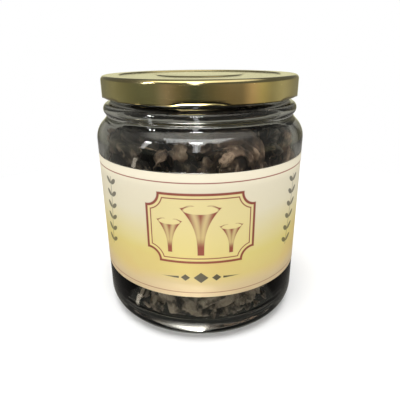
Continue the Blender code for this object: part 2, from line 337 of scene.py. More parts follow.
@dataclass(frozen=True)
class ClearGlass:
    """Pressed container glass: clear, faintly green, with the slow ripples that the mould leaves."""

    tint: tuple[float, float, float, float] = (0.965, 0.98, 0.96, 1.0)
    bending: float = 1.5

    def material(self) -> bpy.types.Material:
        """Return the glass."""
        material, desk = new_material("clear_glass")
        place = desk.place()
        ripple = desk.noise(desk.stretched(place, (1.0, 1.0, 0.35)), 90.0, 1.0)
        haze = desk.noise(place, 260.0, 3.0).ease(0.5, 0.85)
        desk.surface(
            {
                "Base Color": self.tint,
                "Roughness": 0.012 + haze * 0.03,
                "IOR": self.bending,
                "Transmission Weight": 1.0,
                "Normal": desk.bump(ripple, 0.25 * MM, 0.35),
            }
        )
        return material


@dataclass(frozen=True)
class GoldLacquer:
    """Gold lacquer over rolled tinplate: metal under a clear coat, with the sheet's grain."""

    colour: tuple[float, float, float, float] = (0.60, 0.52, 0.27, 1.0)
    deep: tuple[float, float, float, float] = (0.53, 0.44, 0.21, 1.0)

    def material(self) -> bpy.types.Material:
        """Return the lacquered sheet."""
        material, desk = new_material("gold_lacquer")
        place = desk.place()
        grain = desk.noise(desk.stretched(place, (9.0, 1.0, 9.0)), 60.0, 3.0, 0.55)
        cloud = desk.noise(place, 70.0, 2.0)
        scuff = desk.noise(desk.stretched(place, (1.0, 6.0, 1.0)), 420.0, 4.0, 0.7).ease(0.62, 0.78)
        colour = desk.mix(cloud.ease(0.3, 0.7), self.colour, self.deep)
        desk.surface(
            {
                "Base Color": desk.mix(scuff * 0.25, colour, (0.70, 0.64, 0.42, 1.0)),
                "Metallic": 1.0,
                "Roughness": 0.12 + grain * 0.06 + scuff * 0.10,
                "Coat Weight": 0.2,
                "Coat Roughness": 0.06,
                "Normal": desk.bump(cloud, 0.02 * MM, 0.4),
            }
        )
        return material


@dataclass(frozen=True)
class SealingCompound:
    """The soft cream compound of the lid's seal."""

    colour: tuple[float, float, float, float] = (0.74, 0.70, 0.62, 1.0)

    def material(self) -> bpy.types.Material:
        """Return the compound."""
        material, desk = new_material("sealing_compound")
        place = desk.place()
        mottle = desk.noise(place, 300.0, 3.0)
        desk.surface(
            {
                "Base Color": desk.mix(mottle.ease(0.3, 0.75), self.colour, (0.60, 0.56, 0.48, 1.0)),
                "Roughness": 0.5 + mottle * 0.2,
                "Normal": desk.bump(desk.noise(place, 900.0, 2.0), 0.05 * MM),
            }
        )
        return material


@dataclass(frozen=True)
class PaperSheet:
    """Where the label's printed marks lie, in millimetres on the unrolled sheet."""

    radius: float = 46.5
    bottom: float = 23.2
    height: float = 52.6
    rule_below_top: float = 3.6
    rule_above_bottom: float = 2.1
    rule_width: float = 0.42
    plaque_middle: float = 53.6
    plaque_half_width: float = 21.5
    plaque_half_height: float = 14.2
    plaque_notch: float = 5.2
    motif_middle: float = 32.4
    sprig_place: float = 44.0


@dataclass(frozen=True)
class LabelPaper:
    """Uncoated label paper printed with a warm fade, thin rules and a plain ornament."""

    sheet: PaperSheet = PaperSheet()
    red: tuple[float, float, float, float] = screen(132, 44, 34)
    ink: tuple[float, float, float, float] = screen(38, 34, 28)
    field: tuple[float, float, float, float] = screen(224, 206, 134)
    soft_edge: float = 0.16

    def inside(self, depth: Signal) -> Signal:
        """Return 1 where a signed distance in millimetres is below zero, with a soft edge."""
        return depth.ease(self.soft_edge, -self.soft_edge)

    def line(self, depth: Signal, width: float) -> Signal:
        """Return 1 on a line of a width where a distance is zero."""
        return self.inside(abs(depth) - width / 2)

    def fade(self, desk: Desk, place: Signal, across: Signal, up: Signal) -> Signal:
        """Return the printed ground: cream at the top, yellow below the middle, tan at the foot.

        Args:
            desk: the material's desk.
            place: the point, for the slow unevenness.
            across: millimetres to the right of the front.
            up: millimetres above the ground.

        Returns:
            The ground colour.
        """
        drift = desk.noise(place, 26.0, 1.0) - 0.5
        share = (up - self.sheet.bottom) / self.sheet.height + drift * 0.14
        stops = [
            (0.0, screen(212, 188, 148)),
            (0.10, screen(213, 190, 144)),
            (0.20, screen(215, 194, 121)),
            (0.36, screen(217, 201, 121)),
            (0.52, screen(220, 207, 156)),
            (0.68, screen(222, 213, 184)),
            (1.0, screen(226, 217, 194)),
        ]
        ground = desk.add("ShaderNodeValToRGB", {"stops": stops}, {0: share})
        warm = (desk.noise(place, 40.0, 2.0) + abs(across) * 0.002).ease(0.5, 0.8)
        low = share.ease(0.6, 0.3) * share.ease(0.05, 0.2)
        return desk.mix(warm * low * 0.45, ground, screen(216, 178, 114))

    def plaque(self, across: Signal, up: Signal) -> Signal:
        """Return the signed distance to a plaque with hollow corners, in millimetres."""
        sheet = self.sheet
        right = abs(across) - sheet.plaque_half_width
        above = abs(up - sheet.plaque_middle) - sheet.plaque_half_height
        corner = (right * right + above * above) ** 0.5
        return right.most(above).most(sheet.plaque_notch - corner)

    def trumpet(
        self, across: Signal, up: Signal, middle: float, foot: float, tall: float, wide: float
    ) -> Signal:
        """Return where one small printed trumpet shape is inked.

        Args:
            across: millimetres to the right of the front.
            up: millimetres above the ground.
            middle: the shape's middle, across.
            foot: the height of its foot.
            tall: its height.
            wide: half its width at the mouth.

        Returns:
            1 on the ink and 0 off it.
        """
        rise = (up - foot) / tall
        side = (across - middle) / wide
        body = (rise.most(0.0) ** 2.8) * 0.84 + 0.15
        flank = (abs(side) - body) * wide
        brim = (rise - 1.0 + (side * 7.0).sum("COSINE") * 0.03) * tall
        outer = self.inside(flank.most(brim).most(rise * -tall))
        mouth = ((side / 0.78) * (side / 0.78) + ((rise - 0.93) / 0.085) * ((rise - 0.93) / 0.085)) ** 0.5
        vein = self.line(abs(side) - body * 0.45, 0.3) * rise.ease(0.15, 0.4)
        return outer * (1.0 - self.inside((mouth - 1.0) * 2.0)) * (1.0 - vein * 0.7)

    def sprig(self, across: Signal, up: Signal, side: float) -> Signal:
        """Return where a small upright sprig of leaves is inked, on one side of the label."""
        bend = ((up - 50.0) * 0.09).sum("SINE") * 1.6
        off = across - bend - self.sheet.sprig_place * side
        step = (up / 5.4).sum("FRACT") * 5.4 - 1.6
        out = abs(off) * 0.83 + step * 0.55
        beside = abs(off) * 0.55 - step * 0.83
        leaf = ((out - 2.3) / 2.1) * ((out - 2.3) / 2.1) + (beside / 0.95) * (beside / 0.95)
        inked = self.inside((leaf - 1.0) * 1.2).most(self.line(off, 0.34))
        return inked * up.ease(37.7, 38.0) * up.ease(69.7, 69.4)

    def flourish(self, across: Signal, up: Signal) -> Signal:
        """Return where the small dark row of lozenges below the plaque is inked."""
        rise = abs(up - self.sheet.motif_middle)
        centre = self.inside((abs(across) + rise * 1.25) - 3.0)
        beside = self.inside((abs(abs(across) - 6.3) + rise * 1.25) - 1.9)
        taper = self.inside(rise - (15.5 - abs(across)) * 0.075) * abs(across).ease(8.9, 9.1)
        return centre.most(beside).most(taper)

    def material(self) -> bpy.types.Material:
        """Return the printed paper."""
        material, desk = new_material("label_paper")
        place = desk.place()
        east, north, high = desk.parts(place)
        across = east.sum("ARCTAN2", -north) * self.sheet.radius
        up = high * 1000.0
        colour = self.fade(desk, place, across, up)
        frame_line = self.plaque(across, up)
        colour = desk.mix(self.inside(frame_line) * 0.75, colour, self.field)
        rules = self.line(frame_line, 1.0).most(self.line(frame_line + 1.7, 0.45))
        rules = rules.most(self.trumpet(across, up, 0.0, 42.6, 20.5, 8.6))
        rules = rules.most(self.trumpet(across, up, -12.2, 43.6, 14.0, 5.6))
        rules = rules.most(self.trumpet(across, up, 12.0, 43.2, 12.0, 5.2))
        top = self.sheet.bottom + self.sheet.height
        rules = rules.most(self.line(up - (top - self.sheet.rule_below_top), self.sheet.rule_width))
        rules = rules.most(self.line(up - (self.sheet.bottom + self.sheet.rule_above_bottom), 0.36) * 0.75)
        colour = desk.mix(rules * 0.95, colour, self.red)
        marks = self.sprig(across, up, 1.0).most(self.sprig(across, up, -1.0)) * 0.75
        marks = marks.most(self.flourish(across, up) * 0.92)
        colour = desk.mix(marks, colour, self.ink)
        fibre = desk.noise(desk.stretched(place, (1.0, 1.0, 2.5)), 1500.0, 3.0, 0.6)
        soil = desk.noise(place, 120.0, 4.0, 0.65).ease(0.55, 0.85)
        desk.surface(
            {
                "Base Color": desk.mix(soil * 0.10, colour, screen(190, 170, 130)),
                "Roughness": 0.42 + fibre * 0.2,
                "Specular IOR Level": 0.35,
                "Normal": desk.bump(fibre, 0.03 * MM, 0.5),
            }
        )
        return material


@dataclass(frozen=True)
class DriedFlesh:
    """One side of a dried mushroom's thin flesh."""

    name: str
    dark: tuple[float, float, float, float]
    light: tuple[float, float, float, float]
    bloom_and_highlight: tuple[float, float, float, float]
    ridge_bloom_and_highlight_share: float = 0.5

    def material(self) -> bpy.types.Material:
        """Return the shrivelled flesh: mottled and fibrous; paler at the torn brim, in random spots, towards
        the bottom and on the ridges, where the dry bloom carries a painted highlight; with painted shade in
        the creases and over the top of the heap.
        """
        material, desk = new_material(self.name)
        place = desk.place()
        mottle = desk.noise(place, 170.0, 4.0, 0.6)
        fibre = desk.noise(desk.stretched(place, (1.0, 1.0, 0.3)), 1500.0, 4.0, 0.65)
        grit = desk.noise(place, 3200.0, 2.0)
        ridge = desk.add("ShaderNodeAttribute", {"attribute_name": "ridge"}, output="Fac")
        brim = desk.add("ShaderNodeAttribute", {"attribute_name": "brim"}, output="Fac")
        colour = desk.mix(mottle.ease(0.36, 0.68), self.dark, self.light)
        # Paler on the ridges: the dry bloom with a painted highlight on it. Also paler at the torn brim, in
        # random spots, and towards the bottom, below 30 mm.
        wear_and_highlight = ridge.ease(0.5, 0.95) * fibre.ease(0.2, 0.65) * self.ridge_bloom_and_highlight_share
        wear_and_highlight = wear_and_highlight.most(brim * mottle.ease(0.35, 0.65) * 0.45)
        wear_and_highlight = wear_and_highlight.most(desk.noise(place, 95.0, 2.0).ease(0.69, 0.75) * 0.8)
        height = desk.parts(place)[2]
        wear_and_highlight = wear_and_highlight.most(height.ease(30.0 * MM, 14.0 * MM) * mottle.ease(0.40, 0.62) * 0.55)
        colour = desk.mix(wear_and_highlight, colour, self.bloom_and_highlight)
        # Painted shade: near black in the creases, where ridge is low, and over the top of the heap from 82
        # to 88 mm up, under the lid.
        deep = (0.012, 0.010, 0.009, 1.0)
        hollow = (ridge.ease(0.35, 0.0) * 0.7).most(height.ease(82.0 * MM, 88.0 * MM) * 0.8)
        colour = desk.mix(hollow, colour, deep)
        desk.surface(
            {
                "Base Color": colour,
                "Roughness": 0.62 + fibre * 0.25,
                "Specular IOR Level": 0.35,
                "Normal": desk.bump(fibre * 0.6 + grit * 0.4, 0.16 * MM, 0.8),
            }
        )
        return material


class Shade(Enum):
    """The three shades of dried mushroom."""

    BLACK = "mushroom_black"
    BROWN = "mushroom_brown"
    GREY = "mushroom_grey"

    def outside(self) -> DriedFlesh:
        """Return the finish of the funnel's outside."""
        if self is Shade.BLACK:
            return DriedFlesh(
                "flesh_black", screen(28, 24, 21), screen(60, 53, 45), screen(130, 114, 96), 0.55
            )
        if self is Shade.BROWN:
            return DriedFlesh(
                "flesh_brown", screen(49, 38, 32), screen(112, 90, 73), screen(190, 162, 136), 0.75
            )
        return DriedFlesh("flesh_grey", screen(43, 39, 34), screen(92, 83, 72), screen(168, 153, 132), 0.65)


@dataclass(frozen=True)
class FloorCoat:
    """The studio's matt pale floor."""

    colour: tuple[float, float, float, float] = (0.90, 0.90, 0.90, 1.0)

    def material(self) -> bpy.types.Material:
        """Return the floor's finish."""
        material, desk = new_material("pale_floor")
        speck = desk.noise(desk.place(), 900.0, 2.0)
        desk.surface(
            {
                "Base Color": desk.mix(speck * 0.04, self.colour, (0.80, 0.80, 0.80, 1.0)),
                "Roughness": 0.9,
                "Specular IOR Level": 0.1,
            }
        )
        return material


# Meshes


def grid_faces(rows: int, columns: int, closed: bool) -> list[tuple[int, int, int, int]]:
    """Return the faces of a grid of points stored row by row.

    Args:
        rows: the number of rows.
        columns: the number of points in a row.
        closed: whether each row's end meets its start.

    Returns:
        Four point numbers for each face.
    """
    faces = []
    last = columns if closed else columns - 1
    for row in range(rows - 1):
        for column in range(last):
            beside = (column + 1) % columns
            low = row * columns
            high = low + columns
            faces.append((low + column, low + beside, high + beside, high + column))
    return faces


def make_piece(
    name: str, points: np.ndarray, faces: list, materials: Sequence[bpy.types.Material]
) -> bpy.types.Object:
    """Return a smooth piece in the scene.

    Args:
        name: the piece's name.
        points: its points in metres.
        faces: point numbers for each face.
        materials: its finishes.

    Returns:
        The object.
    """
    mesh = bpy.data.meshes.new(name)
    mesh.from_pydata([tuple(point) for point in points.tolist()], [], faces)
    mesh.validate()
    mesh.shade_smooth()
    for material in materials:
        mesh.materials.append(material)
    piece = bpy.data.objects.new(name, mesh)
    bpy.context.scene.collection.objects.link(piece)
    return piece


def dress(piece: bpy.types.Object, body: str, node: str) -> bpy.types.Object:
    """Let a piece ride on its body in the place of a CAD node.

    Args:
        piece: the finished piece.
        body: the CAD body that carries it.
        node: the CAD node that it stands for.

    Returns:
        The piece.
    """
    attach(piece, body)
    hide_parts(node)
    LOG.info("%s: %d faces in the place of %s", piece.name, len(piece.data.polygons), node)
    return piece


def turned(
    name: str,
    outline: Outline,
    segments: int,
    material: bpy.types.Material,
    shift: Optional[Callable[[np.ndarray, np.ndarray, np.ndarray], np.ndarray]] = None,
) -> bpy.types.Object:
    """Return a piece turned round Z from an outline that may start and end on the axis.

    Args:
        name: the piece's name.
        outline: radius and height pairs.
        segments: the number of segments in a turn.
        material: the finish.
        shift: called with the radii, angles and heights, it returns the radii to use.

    Returns:
        The turned object.
    """
    rows = [pair for pair in outline if pair[0] > TINY]
    angles = np.radians(FRONT) + np.arange(segments) * (2.0 * math.pi / segments)
    radii = np.array([pair[0] for pair in rows])[:, None] + 0.0 * angles[None, :]
    heights = np.array([pair[1] for pair in rows])[:, None] + 0.0 * angles[None, :]
    turns = angles[None, :] + 0.0 * radii
    if shift:
        radii = shift(radii, turns, heights)
    points = np.stack([radii * np.cos(turns), radii * np.sin(turns), heights], axis=2).reshape(-1, 3)
    faces: list = [tuple(reversed(face)) for face in grid_faces(len(rows), segments, True)]
    if outline[0][0] <= TINY:
        hub = len(points)
        points = np.vstack([points, [[0.0, 0.0, outline[0][1]]]])
        faces += [(hub, column, (column + 1) % segments) for column in range(segments)]
    if outline[-1][0] <= TINY:
        hub = len(points)
        base = (len(rows) - 1) * segments
        points = np.vstack([points, [[0.0, 0.0, outline[-1][1]]]])
        faces += [(hub, base + (column + 1) % segments, base + column) for column in range(segments)]
    return make_piece(name, points, faces, [material])


# The glass jar


@dataclass
class GlassJar:
    """The jar's glass, in millimetres, from the ground up."""

    radius: float = 46.5
    wall: float = 2.8
    heel: float = 8.5
    bearing_inner: float = 33.5
    push_up: float = 3.0
    push_up_step: float = 1.2
    floor_height: float = 5.2
    floor_crown: float = 6.4
    inner_heel: float = 7.0
    shoulder_height: float = 81.5
    shoulder: float = 10.0
    shoulder_sweep: float = 49.0
    groove_radius: float = 41.7
    groove_height: float = 90.8
    bead_radius: float = 40.2
    bead_height: float = 94.1
    bead_round: float = 2.6
    bead_top_angle: float = 70.0
    bead_foot_angle: float = -54.0
    finish_radius: float = 39.4
    finish_foot: float = 98.4
    finish_cove: float = 2.2
    finish_cove_sweep: float = 65.0
    bore: float = 37.4
    rim_height: float = 105.4
    rim_round: float = 0.9
    thread_round: float = 1.3
    thread_height: float = 102.75
    thread_start: float = -15.0
    thread_sweep: float = 37.5
    thread_rise: float = 0.0375
    label_bed: float = 0.24
    segments: int = 168

    def inner_outline(self) -> Outline:
        """Return the inside, from the middle of the floor up to the rim, in millimetres."""
        corner = self.shoulder - self.wall
        turn = math.cos(math.radians(self.shoulder_sweep))
        cove = (self.radius - self.shoulder + corner * turn - self.bore) / (1.0 - turn)
        lift = math.sin(math.radians(self.shoulder_sweep))
        cove_height = self.shoulder_height + (corner + cove) * lift
        inner = self.radius - self.wall
        heel = (inner - self.inner_heel, self.floor_height + self.inner_heel)
        start = (0.0, self.floor_crown)
        points = [start, *run(start, (heel[0], self.floor_height), 8)]
        points += arc(heel, self.inner_heel, -90.0, 0.0, 12)
        points += run(points[-1], (inner, self.shoulder_height), 14)
        points += arc(
            (self.radius - self.shoulder, self.shoulder_height), corner, 0.0, self.shoulder_sweep, 8
        )
        points += arc((self.bore + cove, cove_height), cove, 180.0 + self.shoulder_sweep, 180.0, 8)[1:]
        rim = (self.bore + self.rim_round, self.rim_height - self.rim_round)
        points += run(points[-1], (self.bore, rim[1]), 4)
        points += arc(rim, self.rim_round, 180.0, 90.0, 5)
        return points

    def outer_outline(self) -> Outline:
        """Return the outside, from the rim down to the middle of the base, in millimetres."""
        rim = (self.finish_radius - self.rim_round, self.rim_height - self.rim_round)
        points = arc(rim, self.rim_round, 90.0, 0.0, 5)
        points += run(points[-1], (self.finish_radius, self.finish_foot), 14)
        cove = (self.finish_radius + self.finish_cove, self.finish_foot)
        points += arc(cove, self.finish_cove, 180.0, 180.0 + self.finish_cove_sweep, 6)
        bead = (self.bead_radius, self.bead_height)
        points += arc(bead, self.bead_round, self.bead_top_angle, self.bead_foot_angle, 14)
        points.append((self.groove_radius, self.groove_height))
        shoulder = (self.radius - self.shoulder, self.shoulder_height)
        points += arc(shoulder, self.shoulder, self.shoulder_sweep, 0.0, 14)
        points += self.side_heights()
        points += arc((self.radius - self.heel, self.heel), self.heel, 0.0, -90.0, 16)
        points += run(points[-1], (self.bearing_inner, 0.0), 3)
        points += arc((self.bearing_inner, 0.6), 0.6, -90.0, -155.0, 4)
        points.append((self.bearing_inner - 2.0 * self.push_up_step, self.push_up_step))
        points += run(points[-1], (0.0, self.push_up), 8)
        points.append((0.0, self.push_up))
        return points

    def side_heights(self) -> Outline:
        """Return the straight side's points, close together at the label's two edges."""
        sheet = PaperSheet()
        heights = []
        for edge in (sheet.bottom + sheet.height, sheet.bottom):
            heights += [edge + 0.5, edge + 0.25, edge, edge - 0.25]
            if edge > sheet.bottom:
                heights += [edge - sheet.height * share / 14 for share in range(1, 14)]
        return [(self.radius, height) for height in heights]

    def shifted(self, radii: np.ndarray, turns: np.ndarray, heights: np.ndarray) -> np.ndarray:
        """Return the radii with the threads raised, the label's bed sunk and the inner wall uneven.

        Args:
            radii: the radii in metres.
            turns: the angles in radians.
            heights: the heights in metres.

        Returns:
            The changed radii in metres.
        """
        radius = radii / MM
        height = heights / MM
        outside = radius > self.radius - 0.01
        label = Label()
        from_front = np.abs(np.angle(np.exp(1j * (turns - math.radians(FRONT)))))
        bed = smooth((label.half_turn() + 0.02 - from_front) / 0.04)
        sheet = PaperSheet()
        bed = bed * smooth((sheet.bottom + sheet.height + 0.4 - height) / 0.4)
        bed = bed * smooth((height - sheet.bottom + 0.4) / 0.4)
        radius = radius - np.where(outside, self.label_bed * bed, 0.0)
        on_finish = (np.abs(radius - self.finish_radius) < 0.01) & (height > self.finish_foot)
        radius = radius + np.where(on_finish, self.thread(turns, height), 0.0)
        inner = (radius < self.radius - self.wall + 0.01) & (height > self.floor_height + 0.5)
        inner_rows = np.arange(len(radii))[:, None] < len(self.inner_outline())
        inner = inner & (radius > self.bore - 0.01) & inner_rows
        slow = np.sin(3.0 * turns + 0.05 * height) + 0.7 * np.sin(5.0 * turns - 0.09 * height + 1.3)
        slow = slow + 0.5 * np.sin(9.0 * turns + 0.21 * height + 2.2)
        fade = smooth((height - 8.0) / 6.0) * smooth((100.0 - height) / 6.0)
        radius = radius + np.where(inner, 0.11 * slow * fade, 0.0)
        return radius * MM

    def thread(self, turns: np.ndarray, height: np.ndarray) -> np.ndarray:
        """Return how far the six threads stand out at each angle and height, in millimetres."""
        raised = np.zeros_like(height)
        for start in range(6):
            begin = FRONT + 60.0 * start + self.thread_start
            along = np.degrees(np.angle(np.exp(1j * (turns - math.radians(begin)))))
            middle = self.thread_height + self.thread_rise * (along + self.thread_start)
            off = (height - middle) / self.thread_round
            ends = smooth((along + 1.0) / 3.0) * smooth((self.thread_sweep + 1.0 - along) / 3.0)
            raised = np.maximum(raised, self.thread_round * np.sqrt(np.maximum(1.0 - off * off, 0.0)) * ends)
        return raised

    def inner_reach(self, heights: np.ndarray) -> np.ndarray:
        """Return the inner wall's radius at heights, both in metres."""
        outline = self.inner_outline()
        levels = np.array([pair[1] for pair in outline[9:]]) * MM
        radii = np.array([pair[0] for pair in outline[9:]]) * MM
        return np.interp(heights, levels, radii)

    def build(self) -> bpy.types.Object:
        """Return the finished jar."""
        whole = self.inner_outline() + self.outer_outline()
        outline = [(radius * MM, height * MM) for radius, height in whole]
        jar = turned("jar_glass", outline, self.segments, ClearGlass().material(), self.shifted)
        return dress(jar, "jar", "glass_jar")


# The lid


@dataclass
class TwistLid:
    """The lid's thin sheet, in millimetres."""

    radius: float = 42.8
    top: float = 107.7
    bottom: float = 98.8
    sheet: float = 0.26
    corner: float = 1.7
    panel_radius: float = 35.0
    panel_sink: float = 0.5
    panel_step: float = 0.7
    button_radius: float = 18.6
    button_rise: float = 0.35
    button_crown: float = 0.2
    lug_count: int = 6
    lug_sweep: float = 22.0
    lug_chamfer: float = 0.75
    lug_depth: float = 2.3
    hem: float = 1.5
    hem_round: float = 0.35
    segments: int = 240

    def eased_step(self, start: tuple[float, float], end: tuple[float, float], steps: int) -> Outline:
        """Return a smooth drawn step between two levels."""
        points = []
        for step in range(steps + 1):
            share = step / steps
            ease = share * share * (3.0 - 2.0 * share)
            points.append((start[0] + (end[0] - start[0]) * share, start[1] + (end[1] - start[1]) * ease))
        return points

    def outer_outline(self) -> Outline:
        """Return the outside of the sheet, from the middle of the top down to the curled edge."""
        panel = self.top - self.panel_sink
        button = panel + self.button_rise
        points = [(0.0, button + self.button_crown)]
        for step in range(1, 9):
            share = step / 8
            points.append((self.button_radius * share, button + self.button_crown * (1.0 - share * share)))
        button_edge = (self.button_radius, button)
        points += self.eased_step(button_edge, (self.button_radius + self.panel_step, panel), 5)[1:]
        points += run(points[-1], (self.panel_radius, panel), 6)
        panel_edge = (self.panel_radius, panel)
        points += self.eased_step(panel_edge, (self.panel_radius + self.panel_step, self.top), 5)
        flat_end = self.radius - self.corner
        points += run(points[-1], (flat_end, self.top), 4)
        points += arc((flat_end, self.top - self.corner), self.corner, 90.0, 0.0, 8)
        edge = self.bottom + self.hem_round
        points += run(points[-1], (self.radius, edge + 1.0), 6)
        points += run((self.radius, edge + 1.0), (self.radius, edge), 5)
        points += arc((self.radius - self.hem_round, edge), self.hem_round, 0.0, -90.0, 4)
        inner = self.radius - self.hem
        points += run(points[-1], (inner, self.bottom), 3)
        points += arc((inner, edge), self.hem_round, -90.0, -180.0, 4)
        points.append((inner - self.hem_round, self.bottom + self.hem))
        return points

    def pressed(self, turns: np.ndarray) -> np.ndarray:
        """Return how far the edge is pressed in at each angle, 0 between lugs and 1 on a lug."""
        pitch = 2.0 * math.pi / self.lug_count
        off = np.abs((turns - math.radians(FRONT) + pitch / 2) % pitch - pitch / 2)
        half = math.radians(self.lug_sweep / 2)
        return smooth((half * 1.3 - off) / (half * 0.6))

    def shaped(self, radii: np.ndarray, turns: np.ndarray, heights: np.ndarray) -> np.ndarray:
        """Return the radii with the six lugs pressed into the curled edge.

        Args:
            radii: the radii in metres.
            turns: the angles in radians.
            heights: the heights in metres.

        Returns:
            The changed radii in metres.
        """
        low = np.clip((self.bottom + 1.1 - heights / MM) / 1.1, 0.0, 1.0) ** 1.6
        inward = np.clip((self.radius - radii / MM) / self.hem, 0.0, 1.0)
        under = heights / MM < self.bottom + self.hem + 0.1
        depth = np.where(under, self.lug_chamfer * low + self.lug_depth * inward, 0.0)
        return radii - self.pressed(turns) * depth * MM

    def build(self) -> bpy.types.Object:
        """Return the finished lid."""
        outline = [(radius * MM, height * MM) for radius, height in self.outer_outline()]
        lid = turned("twist_lid", outline, self.segments, GoldLacquer().material(), self.shaped)
        skin = lid.modifiers.new("sheet", "SOLIDIFY")
        skin.thickness = self.sheet * MM
        skin.offset = -1.0
        return dress(lid, "lid", "lid")


@dataclass
class SealingRing:
    """The soft ring between the lid and the jar's rim, in millimetres."""

    inner: float = 36.6
    outer: float = 40.6
    low: float = 105.7
    high: float = 107.0
    round_off: float = 0.45

    def build(self) -> bpy.types.Object:
        """Return the finished ring."""
        ease = self.round_off
        outline = [(self.outer, self.high), (self.outer, self.low + ease)]
        outline += arc((self.outer - ease, self.low + ease), ease, 0.0, -90.0, 5)[1:]
        outline += arc((self.inner + ease, self.low + ease), ease, -90.0, -180.0, 5)
        outline += [(self.inner, self.high), (self.outer, self.high)]
        scaled = [(radius * MM, height * MM) for radius, height in outline]
        ring = turned("seal_ring", scaled, 120, SealingCompound().material())
        return dress(ring, "lid_seal", "sealing_ring")


# The label


@dataclass
class Label:
    """The paper label's sheet, wrapped round the glass."""

    thickness: float = 0.2
    sweep: float = 300.0
    columns: int = 200
    rows: int = 8

    def half_turn(self) -> float:
        """Return half the wrap in radians."""
        return math.radians(self.sweep / 2)

    def build(self) -> bpy.types.Object:
        """Return the finished label, a sheet with a real thickness."""
        sheet = PaperSheet()
        turns = math.radians(FRONT) + np.linspace(-self.half_turn(), self.half_turn(), self.columns + 1)
        levels = sheet.bottom + sheet.height * np.linspace(0.0, 1.0, self.rows + 1)
        points = []
        for level in levels:
            for turn in turns:
                points.append((sheet.radius * math.cos(turn), sheet.radius * math.sin(turn), level))
        faces = grid_faces(self.rows + 1, self.columns + 1, False)
        paper = make_piece("paper_label", np.array(points) * MM, faces, [LabelPaper(sheet).material()])
        skin = paper.modifiers.new("sheet", "SOLIDIFY")
        skin.thickness = self.thickness * MM
        skin.offset = -1.0
        return dress(paper, "jar", "label")


# The mushrooms


